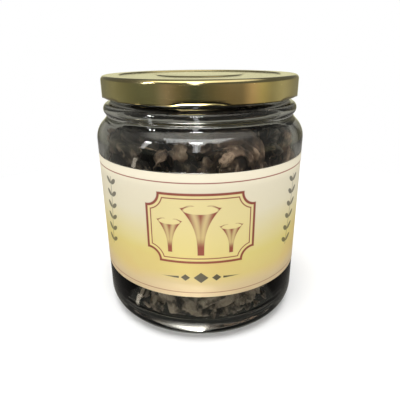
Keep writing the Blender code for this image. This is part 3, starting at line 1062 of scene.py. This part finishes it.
@dataclass
class MushroomRows:
    """Packs each mushroom into the jar as a row of balls that widens from foot to mouth."""

    count: int = 54
    stations: int = 7
    foot: float = 2.6 * MM
    mouth: float = 9.3 * MM
    flare: float = 1.7
    length: float = 34.0 * MM
    spread: float = 0.18
    seed: int = 11
    rounds: int = 900
    growing: int = 550
    start_growth: float = 0.45
    push: float = 0.35
    reach: float = 0.8
    margin: float = 0.1
    lean: float = 0.9
    straightness: float = 1.86
    gap: float = 0.3 * MM
    jar_radius: float = 46.5 * MM
    jar_wall: float = 2.8 * MM
    floor: float = 6.4 * MM + 0.3 * MM
    ceiling: float = 88.6 * MM
    shoulder_height: float = 81.5 * MM
    shoulder: float = 10.0 * MM

    def plan(self, rng: random.Random) -> tuple[np.ndarray, np.ndarray]:
        """Return the balls' radii, foot first, and each row's spacing."""
        radii = []
        spacings = []
        for _ in range(self.count):
            size = 1.0 + self.spread * (2.0 * rng.random() - 1.0)
            spacings.append(size * self.length / (self.stations - 1))
            for station in range(self.stations):
                share = station / (self.stations - 1)
                flare = math.exp(self.flare * math.log(share)) if share else 0.0
                radii.append(size * (self.foot + (self.mouth - self.foot) * flare))
        return np.round(np.array(radii), 9), np.round(np.array(spacings), 9)

    def scatter(self, rng: random.Random, spacings: np.ndarray) -> np.ndarray:
        """Return the balls' first places: straight rows at random angles, spread over the jar."""
        pack_radius = self.jar_radius - self.jar_wall - 2 * self.gap
        places = []
        for index in range(self.count):
            reach = self.reach * pack_radius * math.sqrt(rng.random())
            angle = 2.0 * math.pi * rng.random()
            share = self.margin + (1.0 - 2.0 * self.margin) * (index + 0.5) / self.count
            height = self.floor + (self.ceiling - self.floor) * share
            middle = Vector((reach * math.cos(angle), reach * math.sin(angle), height))
            lean = self.lean * (2.0 * rng.random() - 1.0)
            turn = 2.0 * math.pi * rng.random()
            level = math.sqrt(1.0 - lean * lean)
            along = Vector((level * math.cos(turn), level * math.sin(turn), lean))
            for station in range(self.stations):
                places.append(middle + along * spacings[index] * (station - (self.stations - 1) / 2))
        return np.round(np.array([tuple(place) for place in places]), 7)

    @staticmethod
    def distance(offsets: np.ndarray) -> np.ndarray:
        """Return the length of each row of an array of offsets."""
        squares = offsets * offsets
        return np.sqrt(squares[:, 0] + squares[:, 1] + squares[:, 2]) + TINY

    def hold(self, places: np.ndarray, spacings: np.ndarray) -> None:
        """Keep each row's balls evenly spaced and the row from folding over."""
        rows = places.reshape(self.count, self.stations, 3)
        for first in range(self.stations - 1):
            offset = rows[:, first + 1] - rows[:, first]
            length = self.distance(offset)
            change = offset * ((length - spacings) / length * 0.5)[:, None]
            rows[:, first] += change
            rows[:, first + 1] -= change
        for first in range(self.stations - 2):
            offset = rows[:, first + 2] - rows[:, first]
            length = self.distance(offset)
            short = np.maximum(self.straightness * spacings - length, 0.0)
            change = offset * (short / length * 0.5)[:, None]
            rows[:, first] -= change
            rows[:, first + 2] += change

    def part(self, places: np.ndarray, radii: np.ndarray, pairs: tuple[np.ndarray, np.ndarray]) -> None:
        """Move balls of different mushrooms out of each other."""
        first, second = pairs
        offset = places[first] - places[second]
        length = self.distance(offset)
        overlap = radii[first] + radii[second] + self.gap - length
        touching = overlap > 0.0
        shift = offset[touching] * (overlap[touching] / length[touching] * self.push)[:, None]
        np.add.at(places, first[touching], shift)
        np.add.at(places, second[touching], -shift)

    def keep_in(self, places: np.ndarray, radii: np.ndarray) -> None:
        """Move balls back inside the wall, the floor, the top level and the rounded corners."""
        pack_radius = self.jar_radius - self.jar_wall - 2 * self.gap
        corner = self.shoulder - self.jar_wall
        reach = np.sqrt(places[:, 0] * places[:, 0] + places[:, 1] * places[:, 1]) + TINY
        limit = np.minimum(reach, pack_radius - radii)
        height = np.clip(places[:, 2], self.floor + radii, self.ceiling - radii)
        room = np.maximum(corner - radii, 0.0)
        past_wall = np.maximum(limit - (pack_radius - corner), 0.0)
        above = np.maximum(height - self.shoulder_height, 0.0)
        below = np.maximum(self.floor + corner - height, 0.0)
        past_end = np.maximum(above, below)
        out = np.sqrt(past_wall * past_wall + past_end * past_end) + TINY
        pull = np.where((past_wall > 0.0) & (past_end > 0.0), np.minimum(room / out, 1.0), 1.0)
        limit = limit - past_wall * (1.0 - pull)
        height = height + (below - above) * (1.0 - pull)
        places[:, 0] *= limit / reach
        places[:, 1] *= limit / reach
        places[:, 2] = height

    def pack(self) -> tuple[np.ndarray, np.ndarray]:
        """Return each mushroom's ball centres and radii, as the CAD model packs them."""
        rng = random.Random(self.seed)
        radii, spacings = self.plan(rng)
        places = self.scatter(rng, spacings)
        first, second = np.triu_indices(len(radii), 1)
        apart = first // self.stations != second // self.stations
        pairs = (first[apart], second[apart])
        for turn in range(self.rounds):
            growth = min(1.0, self.start_growth + (1.0 - self.start_growth) * turn / self.growing)
            self.hold(places, spacings)
            self.part(places, radii * growth, pairs)
            self.keep_in(places, radii * growth)
        return places.reshape(self.count, self.stations, 3), radii.reshape(self.count, self.stations)


class Crumple:
    """The creases of a shrivelled skin: folded waves in random directions."""

    def __init__(self, rng: np.random.Generator, spacing: float, waves: int) -> None:
        """Choose the waves.

        Args:
            rng: the source of chance.
            spacing: the mean distance between creases, in metres.
            waves: how many directions there are.
        """
        ways = rng.normal(size=(waves, 3))
        ways /= np.linalg.norm(ways, axis=1)[:, None]
        self.ways = ways * (math.pi / spacing) * rng.uniform(0.6, 1.6, size=(waves, 1))
        self.phases = rng.uniform(0.0, 2.0 * math.pi, size=waves)

    def height(self, points: np.ndarray) -> np.ndarray:
        """Return the skin's height at each point, from 0 in the creases to 1 on the ridges."""
        waves = np.abs(np.sin(points @ self.ways.T + self.phases)) - 2.0 / math.pi
        half = waves.shape[1] // 2
        return 0.5 + 1.4 * (waves[:, :half].sum(axis=1) - waves[:, half:].sum(axis=1)) / waves.shape[1]


class Cells:
    """The room that each packed mushroom has: half way to its neighbours, and up to the glass."""

    def __init__(self, rows: np.ndarray, radii: np.ndarray, jar: GlassJar) -> None:
        """Keep the pack.

        Args:
            rows: each mushroom's ball centres.
            radii: each mushroom's ball radii.
            jar: the glass that holds them.
        """
        self.rows = rows
        self.radii = radii
        self.jar = jar
        self.gap = 0.3 * MM
        self.glass_gap = 1.3 * MM
        self.ceiling = 89.2 * MM
        self.sight = 48.0 * MM
        self.halvings = 7

    @staticmethod
    def nearest(spots: np.ndarray, centres: np.ndarray, radii: np.ndarray) -> np.ndarray:
        """Return each point's distance to the nearest ball's surface."""
        squares = (spots**2).sum(axis=1)[:, None] + (centres**2).sum(axis=1)[None, :]
        squares = squares - 2.0 * spots @ centres.T
        return (np.sqrt(np.maximum(squares, 0.0)) - radii[None, :]).min(axis=1)

    def in_glass(self, spots: np.ndarray, glass_gap: float) -> np.ndarray:
        """Return which points are clear of the glass and below the heap's top.

        Args:
            spots: the points.
            glass_gap: the least distance to the glass.

        Returns:
            True for each point that fits.
        """
        reach = np.hypot(spots[:, 0], spots[:, 1])
        room = self.jar.inner_reach(spots[:, 2]) - glass_gap
        low = (self.jar.floor_crown + 0.35) * MM
        return (reach < room) & (spots[:, 2] > low) & (spots[:, 2] < self.ceiling)

    def reach(
        self, index: int, base: np.ndarray, ways: np.ndarray, limits: np.ndarray, glass_gap: float
    ) -> np.ndarray:
        """Return how far each point can move before it leaves the mushroom's cell.

        Args:
            index: the mushroom's number.
            base: the points on its centreline.
            ways: the direction of each, of length 1.
            limits: the furthest that each may go.
            glass_gap: the least distance to the glass.

        Returns:
            The distances in metres.
        """
        centres = self.rows.reshape(-1, 3)
        radii = self.radii.reshape(-1)
        owner = np.repeat(np.arange(len(self.rows)), self.rows.shape[1])
        middle = self.rows[index].mean(axis=0)
        near = (owner != index) & (np.linalg.norm(centres - middle, axis=1) < self.sight)
        low = np.zeros(len(base))
        high = np.array(limits)
        for _ in range(self.halvings):
            half = (low + high) / 2
            spots = base + ways * half[:, None]
            own = self.nearest(spots, self.rows[index], self.radii[index])
            other = self.nearest(spots, centres[near], radii[near])
            fits = (own + self.gap <= other) & self.in_glass(spots, glass_gap)
            low = np.where(fits, half, low)
            high = np.where(fits, high, half)
        return low


@dataclass
class Trumpet:
    """One dried black trumpet: a thin hollow funnel with a ruffled, curled brim."""

    index: int
    cells: Cells
    rows: int = 42
    columns: int = 84
    widest: float = 1.6
    spare: float = 4.5 * MM
    flesh: float = 0.5 * MM
    pressed_gap: float = 0.5 * MM
    foot_tip: float = 0.6
    lip_advance: float = 0.35
    opening: float = 0.35
    foot_tuck: float = 0.5
    coarse_fold: float = 9.0 * MM
    fine_fold: float = 3.2 * MM
    coarse_depth: float = 2.4
    fine_depth: float = 1.8

    def centreline(self) -> tuple[np.ndarray, np.ndarray]:
        """Return the line's points and radii, from the foot's tip to the brim."""
        knots = np.array(self.cells.rows[self.index])
        radii = self.cells.radii[self.index]
        start = knots[1] - knots[0]
        end = knots[-1] - knots[-2]
        start /= np.linalg.norm(start)
        end /= np.linalg.norm(end)
        knots[0] = knots[0] - start * radii[0] * self.foot_tip
        knots = np.vstack([knots, knots[-1] + end * radii[-1] * self.lip_advance])
        wide = np.append(radii, radii[-1] * 1.02)
        padded = np.vstack([2 * knots[0] - knots[1], knots, 2 * knots[-1] - knots[-2]])
        wide = np.concatenate([[wide[0]], wide, [wide[-1]]])
        spans = len(knots) - 1
        at = np.linspace(0.0, spans, self.rows)
        span = np.minimum(at.astype(int), spans - 1)
        share = (at - span)[:, None]
        first, second, third, fourth = (padded[span + step] for step in range(4))
        line = 0.5 * (
            2 * second
            + (third - first) * share
            + (2 * first - 5 * second + 4 * third - fourth) * share**2
            + (3 * second - first - 3 * third + fourth) * share**3
        )
        radius = wide[span + 1] * (1 - share[:, 0]) + wide[span + 2] * share[:, 0]
        return line, radius

    def frames(self, line: np.ndarray) -> tuple[np.ndarray, np.ndarray, np.ndarray]:
        """Return the wide, flat and forward directions at each point of the line."""
        ahead = np.gradient(line, axis=0)
        ahead /= np.linalg.norm(ahead, axis=1)[:, None]
        flat = np.zeros_like(line)
        way = np.array([line[self.rows // 2, 0], line[self.rows // 2, 1], 0.0])
        for row in range(self.rows):
            way = way - ahead[row] * (way @ ahead[row])
            way = way / (np.linalg.norm(way) + TINY)
            flat[row] = way
        return np.cross(flat, ahead), flat, ahead

    def pleats(self, turn: np.ndarray, share: np.ndarray, rng: np.random.Generator) -> np.ndarray:
        """Return how deep the folds along the funnel are, from 0 on a ridge to about 1 in a fold.

        Args:
            turn: the angles round the funnel.
            share: the shares of its length.
            rng: the source of chance.

        Returns:
            The depths.
        """
        phases = rng.uniform(0.0, 2.0 * math.pi, size=3)
        folded = turn + rng.uniform(-1.6, 1.6) * share
        wide_folds = 1.0 - np.abs(np.sin(1.5 * folded + phases[0]))
        folds = 1.0 - np.abs(np.sin(3.5 * folded + phases[1] + 1.5 * share))
        fine_folds = 1.0 - np.abs(np.sin(6.5 * folded + phases[2] - 2.5 * share))
        return 0.55 * wide_folds + 0.36 * folds + 0.22 * fine_folds

    def shell(self, rng: np.random.Generator) -> tuple[np.ndarray, np.ndarray, np.ndarray]:
        """Return the funnel's points, with how much each is a ridge and how near it is to the brim."""
        line, radius = self.centreline()
        wide, flat, ahead = self.frames(line)
        turn = np.linspace(0.0, 2.0 * math.pi, self.columns, endpoint=False)[None, :]
        share = np.linspace(0.0, 1.0, self.rows)[:, None]
        open_share = smooth((share - 0.45) / 0.55)
        ways = wide[:, None, :] * np.cos(turn)[:, :, None] + flat[:, None, :] * np.sin(turn)[:, :, None]
        tilt = self.opening * open_share - self.foot_tuck * smooth((0.12 - share) / 0.12)
        ways = ways + ahead[:, None, :] * tilt[:, :, None]
        ways = ways / np.linalg.norm(ways, axis=2)[:, :, None]
        base = np.broadcast_to(line[:, None, :], ways.shape)
        limits = radius[:, None] * self.widest + self.spare * (0.3 + 0.7 * share) + 0.0 * turn
        starts, headings = base.reshape(-1, 3), ways.reshape(-1, 3)
        reach = self.cells.reach(self.index, starts, headings, limits.reshape(-1), self.cells.glass_gap)
        reach = self.eased(reach.reshape(self.rows, self.columns))
        ruffle_phase = rng.uniform(0.0, 2.0 * math.pi, size=3)
        ruffle = np.sin(4 * turn + ruffle_phase[0]) + 0.7 * np.sin(7 * turn + ruffle_phase[1])
        ruffle = ruffle + 0.4 * np.sin(11 * turn + ruffle_phase[2])
        pleats = self.pleats(turn, share, rng)
        reach = reach * (1.0 - (0.30 + 0.34 * share) * pleats - 0.05 * open_share * (1.0 + ruffle))
        curl = smooth((share - 0.84) / 0.16)
        frill = np.sin(13 * turn + ruffle_phase[1]) + 0.8 * np.sin(19 * turn + ruffle_phase[0])
        reach = reach * (1.0 - 0.035 * curl * (1.8 + frill))
        forward = 0.20 * open_share * np.roll(ruffle, 9, axis=1) + 0.07 * curl * frill - 0.30 * curl * curl
        forward = radius[:, None] * forward
        points = base + ways * reach[:, :, None] + ahead[:, None, :] * forward[:, :, None]
        spots = points.reshape(-1, 3)
        coarse = Crumple(rng, self.coarse_fold, 5).height(spots)
        fine = Crumple(rng, self.fine_fold, 7).height(spots)
        crease = (self.coarse_depth * (coarse - 0.5) + self.fine_depth * (fine - 0.5)) * MM
        spots = self.held(starts, spots + headings * crease[:, None])
        ridge = 0.68 + 0.9 * (coarse - 0.5) + 1.3 * (fine - 0.5) - 0.5 * pleats.reshape(-1)
        ridge = np.clip(ridge, 0.0, 1.0)
        brim = np.broadcast_to(smooth((share - 0.93) / 0.07), (self.rows, self.columns)).reshape(-1)
        return spots, ridge, brim

    def held(self, base: np.ndarray, spots: np.ndarray) -> np.ndarray:
        """Return the shaped points drawn back towards the centreline where they leave the cell.

        The points are held, but not the sheet between them or its thickness, so a few neighbours
        still cross.

        Args:
            base: the points on the centreline.
            spots: the shaped points.

        Returns:
            The points in metres.
        """
        offset = spots - base
        length = np.linalg.norm(offset, axis=1) + TINY
        ways = offset / length[:, None]
        fits = self.cells.reach(self.index, base, ways, length, self.pressed_gap)
        return base + ways * fits[:, None]

    @staticmethod
    def eased(values: np.ndarray) -> np.ndarray:
        """Return a grid of values with its sharp steps softened, round each row and along it."""
        for _ in range(2):
            values = (np.roll(values, 1, axis=1) + 2.0 * values + np.roll(values, -1, axis=1)) / 4.0
            above = np.vstack([values[:1], values[:-1]])
            below = np.vstack([values[1:], values[-1:]])
            values = (above + 2.0 * values + below) / 4.0
        return values

    def settle(self, spots: np.ndarray) -> np.ndarray:
        """Return the points pressed back inside the glass."""
        jar = self.cells.jar
        settled = np.array(spots)
        settled[:, 2] = np.maximum(settled[:, 2], (jar.floor_crown + 0.35) * MM)
        reach = np.hypot(settled[:, 0], settled[:, 1]) + TINY
        limit = jar.inner_reach(settled[:, 2]) - 0.45 * MM
        over = np.maximum(reach - limit, 0.0)
        pressed = np.where(over > 0.0, limit - 0.12 * over, reach)
        settled[:, 0] *= pressed / reach
        settled[:, 1] *= pressed / reach
        return settled

    def build(self, name: str, materials: Sequence[bpy.types.Material]) -> bpy.types.Object:
        """Return the finished mushroom.

        Args:
            name: the piece's name.
            materials: the outside, the inside and the brim.

        Returns:
            The object.
        """
        rng = np.random.default_rng(100 + self.index)
        spots, ridge, brim = self.shell(rng)
        spots = self.settle(spots)
        faces: list = grid_faces(self.rows, self.columns, True)
        faces.append(tuple(reversed(range(self.columns))))
        piece = make_piece(name, spots, faces, materials)
        for label, values in (("ridge", ridge), ("brim", brim)):
            store = piece.data.attributes.new(label, "FLOAT", "POINT")
            store.data.foreach_set("value", values.astype(np.float32))
        skin = piece.modifiers.new("flesh", "SOLIDIFY")
        skin.thickness = self.flesh
        skin.offset = -1.0
        skin.material_offset = 1
        skin.material_offset_rim = 2
        return piece


@dataclass
class TornFlakes:
    """Flakes torn off the dried mushrooms, lying against the glass in the gaps at one level."""

    name: str
    jar: GlassJar
    tries: int = 9000
    low: float = 8.2 * MM
    high: float = 27.0 * MM
    smallest: float = 1.8 * MM
    largest: float = 7.0 * MM
    clear: float = 0.65 * MM
    sparse: int = 7
    lines: int = 11
    flesh: float = 0.35 * MM
    lean: float = 0.6
    seed: int = 5

    def patch(self, rng: np.random.Generator, size: float) -> np.ndarray:
        """Return a ragged, curled flake's points round its own middle.

        Args:
            rng: the source of chance.
            size: half the flake's width in metres.

        Returns:
            The points, with the flake's thin way as the third number.
        """
        side = np.linspace(-1.0, 1.0, self.lines)
        across, along = np.meshgrid(side, side)
        turn = np.arctan2(along, across)
        phases = rng.uniform(0.0, 2.0 * math.pi, size=3)
        ragged = 1.0 + 0.16 * np.sin(3 * turn + phases[0]) + 0.12 * np.sin(7 * turn + phases[1])
        reach = np.maximum(np.abs(across), np.abs(along)) * ragged
        length = np.hypot(across, along) + TINY
        across = across / length * reach
        along = along / length * reach * rng.uniform(0.55, 1.0)
        curl = 0.5 * np.sin(2.6 * across + phases[2]) + 0.3 * np.sin(5.0 * along + 2.2 * across)
        return np.stack([across, along, curl * rng.uniform(0.3, 0.7)], axis=2).reshape(-1, 3) * size

    def placed(self, rng: np.random.Generator, size: float) -> np.ndarray:
        """Return a flake's points at a random place near the wall, leaning out of the wall's plane."""
        height = rng.uniform(self.low, self.high)
        angle = rng.uniform(0.0, 2.0 * math.pi)
        inset = rng.uniform(0.12, 0.9) * size + 0.9 * MM
        reach = float(self.jar.inner_reach(np.array([height]))[0]) - inset
        lean = Matrix.Rotation(rng.uniform(-self.lean, self.lean), 3, "X")
        lean = lean @ Matrix.Rotation(rng.uniform(-self.lean, self.lean), 3, "Y")
        spin = lean @ Matrix.Rotation(rng.uniform(0.0, 2.0 * math.pi), 3, "Z")
        out = np.array([math.cos(angle), math.sin(angle), 0.0])
        beside = np.array([-math.sin(angle), math.cos(angle), 0.0])
        axes = np.array([beside, [0.0, 0.0, 1.0], out])
        points = self.patch(rng, size) @ np.array(spin).T @ axes
        return points + out * reach + np.array([0.0, 0.0, height])

    def fits(self, points: np.ndarray, tree: KDTree, taken: list[np.ndarray]) -> bool:
        """Return whether a flake is inside the glass and clear of all mushrooms and flakes.

        Args:
            points: the flake's points.
            tree: every mushroom's points.
            taken: the flakes that are already placed.

        Returns:
            Whether it can stay there.
        """
        room = self.jar.inner_reach(points[:, 2]) - self.flesh - 0.35 * MM
        low = (self.jar.floor_crown + 0.5) * MM
        if (np.hypot(points[:, 0], points[:, 1]) > room).any() or (points[:, 2] < low).any():
            return False
        if any(tree.find(Vector(point))[2] < self.clear for point in points[:: self.sparse]):
            return False
        for other in taken:
            if np.linalg.norm(other.mean(axis=0) - points.mean(axis=0)) > 3.0 * self.largest:
                continue
            apart = np.linalg.norm(points[:, None, :] - other[None, :, :], axis=2)
            if apart.min() < self.clear:
                return False
        return all(tree.find(Vector(point))[2] > self.clear for point in points)

    def build(self, pieces: Sequence[bpy.types.Object], material: bpy.types.Material) -> bpy.types.Object:
        """Return all the flakes as one piece.

        Args:
            pieces: the finished mushrooms.
            material: the flakes' finish.

        Returns:
            The object.
        """
        around = [vertex.co for piece in pieces for vertex in piece.data.vertices]
        around = [spot for spot in around if abs(spot.z - (self.low + self.high) / 2) < self.high - self.low]
        tree = KDTree(len(around))
        for index, spot in enumerate(around):
            tree.insert(spot, index)
        tree.balance()
        rng = np.random.default_rng(self.seed)
        taken: list[np.ndarray] = []
        for attempt in range(self.tries):
            share = attempt / self.tries
            size = self.largest * (self.smallest / self.largest) ** share * rng.uniform(0.8, 1.0)
            points = self.placed(rng, size)
            if self.fits(points, tree, taken):
                taken.append(points)
        faces = []
        grid = grid_faces(self.lines, self.lines, False)
        for number in range(len(taken)):
            base = number * self.lines * self.lines
            faces += [tuple(base + corner for corner in face) for face in grid]
        spots = np.vstack(taken)
        flakes = make_piece(self.name, spots, faces, [material])
        ridge = 0.35 + 0.6 * Crumple(rng, 2.4 * MM, 7).height(spots)
        store = flakes.data.attributes.new("ridge", "FLOAT", "POINT")
        store.data.foreach_set("value", ridge.astype(np.float32))
        skin = flakes.modifiers.new("flesh", "SOLIDIFY")
        skin.thickness = self.flesh
        skin.offset = 0.0
        LOG.info("%s: %d flakes", self.name, len(taken))
        return flakes


class MushroomPack:
    """All the mushrooms in the jar."""

    def __init__(self, jar: GlassJar) -> None:
        """Prepare the pack.

        Args:
            jar: the glass that holds it.
        """
        self.jar = jar
        dark_inside = DriedFlesh(
            "flesh_inside", screen(36, 30, 26), screen(70, 58, 48), screen(122, 104, 84), 0.35
        )
        self.inside = dark_inside.material()
        torn = DriedFlesh("flesh_brim", screen(84, 68, 54), screen(142, 120, 96), screen(186, 164, 134), 0.5)
        self.brim = torn.material()
        chips = DriedFlesh(
            "flesh_chips", screen(44, 34, 28), screen(98, 78, 62), screen(200, 174, 144), 0.42
        )
        self.chips = chips.material()
        self.outsides = {shade: shade.outside().material() for shade in Shade}

    def build(self) -> None:
        """Build every mushroom in its CAD node's place."""
        cells = Cells(*MushroomRows().pack(), self.jar)
        shades = list(Shade)
        pieces = []
        for index in range(len(cells.rows)):
            shade = shades[index % len(shades)]
            materials = [self.outsides[shade], self.inside, self.brim]
            piece = Trumpet(index, cells).build(f"trumpet_{index + 1:02d}", materials)
            dress(piece, "jar", f"mushroom_{index + 1:02d}")
            pieces.append(piece)
        low = TornFlakes("low_flakes", self.jar).build(pieces, self.outsides[Shade.GREY])
        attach(low, "jar")
        upper = TornFlakes("upper_flakes", self.jar, 520, 76.5 * MM, 85.5 * MM, 3.0 * MM, 5.2 * MM, seed=8)
        high = upper.build(pieces, self.chips)
        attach(high, "jar")


# The studio


@dataclass
class Softbox:
    """One soft lamp."""

    name: str
    place: tuple[float, float, float]
    width: float
    height: float
    watts: float
    mirrored: bool = False

    def build(self, target: Vector) -> bpy.types.Object:
        """Return the lamp, turned to face a point.

        Args:
            target: the point that it faces.

        Returns:
            The lamp.
        """
        lamp = bpy.data.lights.new(self.name, "AREA")
        lamp.shape = "RECTANGLE"
        lamp.size = self.width
        lamp.size_y = self.height
        lamp.energy = self.watts
        item = bpy.data.objects.new(self.name, lamp)
        item.location = self.place
        item.rotation_euler = (target - Vector(self.place)).to_track_quat("-Z", "Y").to_euler()
        item.visible_camera = False
        item.visible_glossy = self.mirrored
        item.visible_diffuse = not self.mirrored
        bpy.context.scene.collection.objects.link(item)
        return item


@dataclass
class Studio:
    """The floor, the lamps, the room that they light, and the camera."""

    floor_radius: float = 0.27
    eye: tuple[float, float, float] = (0.0, -0.1734, 0.1159)
    pitch: float = 21.5
    yaw: float = 0.08
    roll: float = -0.46
    lens: float = 33.48

    def build_floor(self) -> None:
        """Lay the pale floor."""
        segments = 96
        rings = [share * self.floor_radius for share in (0.25, 0.5, 0.75, 1.0)]
        outline = [(0.0, 0.0), *[(radius, 0.0) for radius in rings]]
        floor = turned("floor", outline, segments, FloorCoat().material())
        floor.visible_glossy = False
        floor.visible_transmission = False

    def build_lamps(self) -> None:
        """Hang the lamps."""
        target = Vector((0.0, 0.0, 0.05))
        Softbox("top", (-0.03, -0.16, 0.80), 0.60, 0.60, 6.6).build(target)
        Softbox("glint", (-0.03, -0.36, 0.46), 0.11, 0.055, 0.6, True).build(target)
        Softbox("strip", (-0.20, -0.40, 0.52), 0.50, 0.01, 0.07, True).build(target)
        Softbox("left_glint", (-0.42, -0.24, 0.40), 0.07, 0.04, 0.45, True).build(target)
        Softbox("pane", (-0.035, -0.42, 0.28), 0.045, 0.30, 0.19, True).build(target)
        Softbox("left_pane", (-0.42, -0.24, 0.27), 0.04, 0.22, 0.12, True).build(target)

    def build_room(self) -> None:
        """Light the room: an even fill, with bands for what the lid and the glass mirror."""
        world = bpy.data.worlds.new("room")
        bpy.context.scene.world = world
        world.use_nodes = True
        desk = Desk(world.node_tree)
        way = desk.add("ShaderNodeTexCoord", output="Generated")
        east, north, high = desk.parts(way)
        around = east.sum("ARCTAN2", -north) / (2.0 * math.pi) + 0.5
        bands = [
            (0.0, (0.86, 0.84, 0.54, 1.0)),
            (0.045, (0.80, 0.78, 0.50, 1.0)),
            (0.075, (0.20, 0.19, 0.13, 1.0)),
            (0.13, (0.26, 0.26, 0.19, 1.0)),
            (0.19, (0.34, 0.34, 0.26, 1.0)),
            (0.30, (0.17, 0.185, 0.14, 1.0)),
            (0.36, (0.20, 0.21, 0.16, 1.0)),
            (0.40, (0.42, 0.36, 0.32, 1.0)),
            (0.44, (0.22, 0.20, 0.15, 1.0)),
            (0.485, (0.07, 0.09, 0.08, 1.0)),
            (0.53, (0.18, 0.17, 0.13, 1.0)),
            (0.58, (0.30, 0.25, 0.19, 1.0)),
            (0.63, (0.28, 0.23, 0.17, 1.0)),
            (0.665, (0.72, 0.54, 0.38, 1.0)),
            (0.70, (0.64, 0.57, 0.33, 1.0)),
            (0.74, (0.42, 0.40, 0.29, 1.0)),
            (0.79, (0.58, 0.56, 0.42, 1.0)),
            (0.86, (0.34, 0.32, 0.23, 1.0)),
            (0.925, (0.26, 0.24, 0.16, 1.0)),
            (0.955, (0.80, 0.78, 0.50, 1.0)),
            (1.0, (0.86, 0.84, 0.54, 1.0)),
        ]
        under = [
            (0.0, (0.34, 0.33, 0.30, 1.0)),
            (0.2, (0.14, 0.13, 0.12, 1.0)),
            (0.34, (0.01, 0.01, 0.009, 1.0)),
            (0.66, (0.01, 0.01, 0.009, 1.0)),
            (0.8, (0.14, 0.13, 0.12, 1.0)),
            (1.0, (0.34, 0.33, 0.30, 1.0)),
        ]
        over = [
            (0.0, (0.30, 0.30, 0.28, 1.0)),
            (0.20, (0.30, 0.30, 0.28, 1.0)),
            (0.27, (3.0, 2.95, 2.65, 1.0)),
            (0.54, (3.0, 2.95, 2.65, 1.0)),
            (0.60, (2.0, 1.9, 1.7, 1.0)),
            (0.80, (1.4, 1.35, 1.2, 1.0)),
            (1.0, (0.30, 0.30, 0.28, 1.0)),
        ]
        deep = [
            (0.0, (0.10, 0.10, 0.09, 1.0)),
            (0.30, (0.05, 0.05, 0.045, 1.0)),
            (0.37, (4.0, 3.9, 3.5, 1.0)),
            (0.43, (25.0, 24.6, 22.4, 1.0)),
            (0.505, (25.0, 24.6, 22.4, 1.0)),
            (0.53, (2.5, 2.45, 2.2, 1.0)),
            (0.58, (0.05, 0.05, 0.045, 1.0)),
            (1.0, (0.10, 0.10, 0.09, 1.0)),
        ]
        mirrored = desk.add("ShaderNodeValToRGB", {"stops": bands}, {0: around})
        low = desk.add("ShaderNodeValToRGB", {"stops": under}, {0: around})
        above = desk.add("ShaderNodeValToRGB", {"stops": over}, {0: around})
        mirrored = desk.mix(high.ease(-0.125, -0.19), mirrored, low)
        mirrored = desk.mix(high.ease(0.06, 0.30), mirrored, (0.16, 0.16, 0.15, 1.0))
        mirrored = desk.mix(high.ease(0.70, 0.86), mirrored, above)
        bright = desk.add("ShaderNodeValToRGB", {"stops": deep}, {0: around})
        mirrored = desk.mix(high.ease(-0.60, -0.80), mirrored, bright)
        streak = abs(around - 0.340 - high * 0.136).ease(0.011, 0.005)
        streak = streak * high.ease(-0.27, -0.32) * high.ease(-0.54, -0.48)
        mirrored = desk.mix(streak, mirrored, (5.0, 4.5, 3.6, 1.0))
        through = desk.mix(high.ease(-0.5, 0.2), (0.02, 0.02, 0.018, 1.0), (0.26, 0.25, 0.22, 1.0))
        fill = desk.mix(east.ease(-0.7, 0.7), (0.67, 0.67, 0.66, 1.0), (0.58, 0.58, 0.575, 1.0))
        fill = desk.mix(high.ease(-0.05, -0.3), fill, (1.7, 1.66, 1.6, 1.0))
        path = desk.add("ShaderNodeLightPath", output="Is Camera Ray")
        room = desk.mix(path.output("Is Transmission Ray"), mirrored, through)
        room = desk.mix(path.output("Diffuse Depth").least(1.0), room, fill)
        room = desk.mix(path, room, (1.0, 1.0, 1.0, 1.0))
        glow = desk.add("ShaderNodeBackground", inputs={"Color": room, "Strength": 1.0})
        desk.add("ShaderNodeOutputWorld", inputs={"Surface": glow})
        world.cycles.sampling_method = "NONE"

    def build_camera(self) -> None:
        """Set up the camera."""
        lens = bpy.data.cameras.new("camera")
        lens.lens = self.lens
        lens.sensor_width = 36.0
        lens.clip_start = 0.005
        lens.clip_end = 20.0
        camera = bpy.data.objects.new("camera", lens)
        turn = Matrix.Rotation(math.radians(self.yaw), 4, "Z")
        tilt = Matrix.Rotation(math.radians(90.0 - self.pitch), 4, "X")
        lean = Matrix.Rotation(math.radians(self.roll), 4, "Z")
        camera.matrix_world = Matrix.Translation(self.eye) @ turn @ tilt @ lean
        bpy.context.scene.collection.objects.link(camera)
        bpy.context.scene.camera = camera

    def build(self) -> None:
        """Build the whole studio."""
        self.build_floor()
        self.build_lamps()
        self.build_room()
        self.build_camera()
        bpy.context.scene.view_settings.view_transform = "Standard"
        LOG.info("studio: floor, lamps, room and camera")


def main() -> None:
    """Build every piece and the studio."""
    logging.basicConfig(level=logging.INFO, format="%(message)s")
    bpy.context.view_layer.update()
    jar = GlassJar()
    jar.build()
    TwistLid().build()
    SealingRing().build()
    Label().build()
    MushroomPack(jar).build()
    Studio().build()


if __name__ == "__main__":
    main()
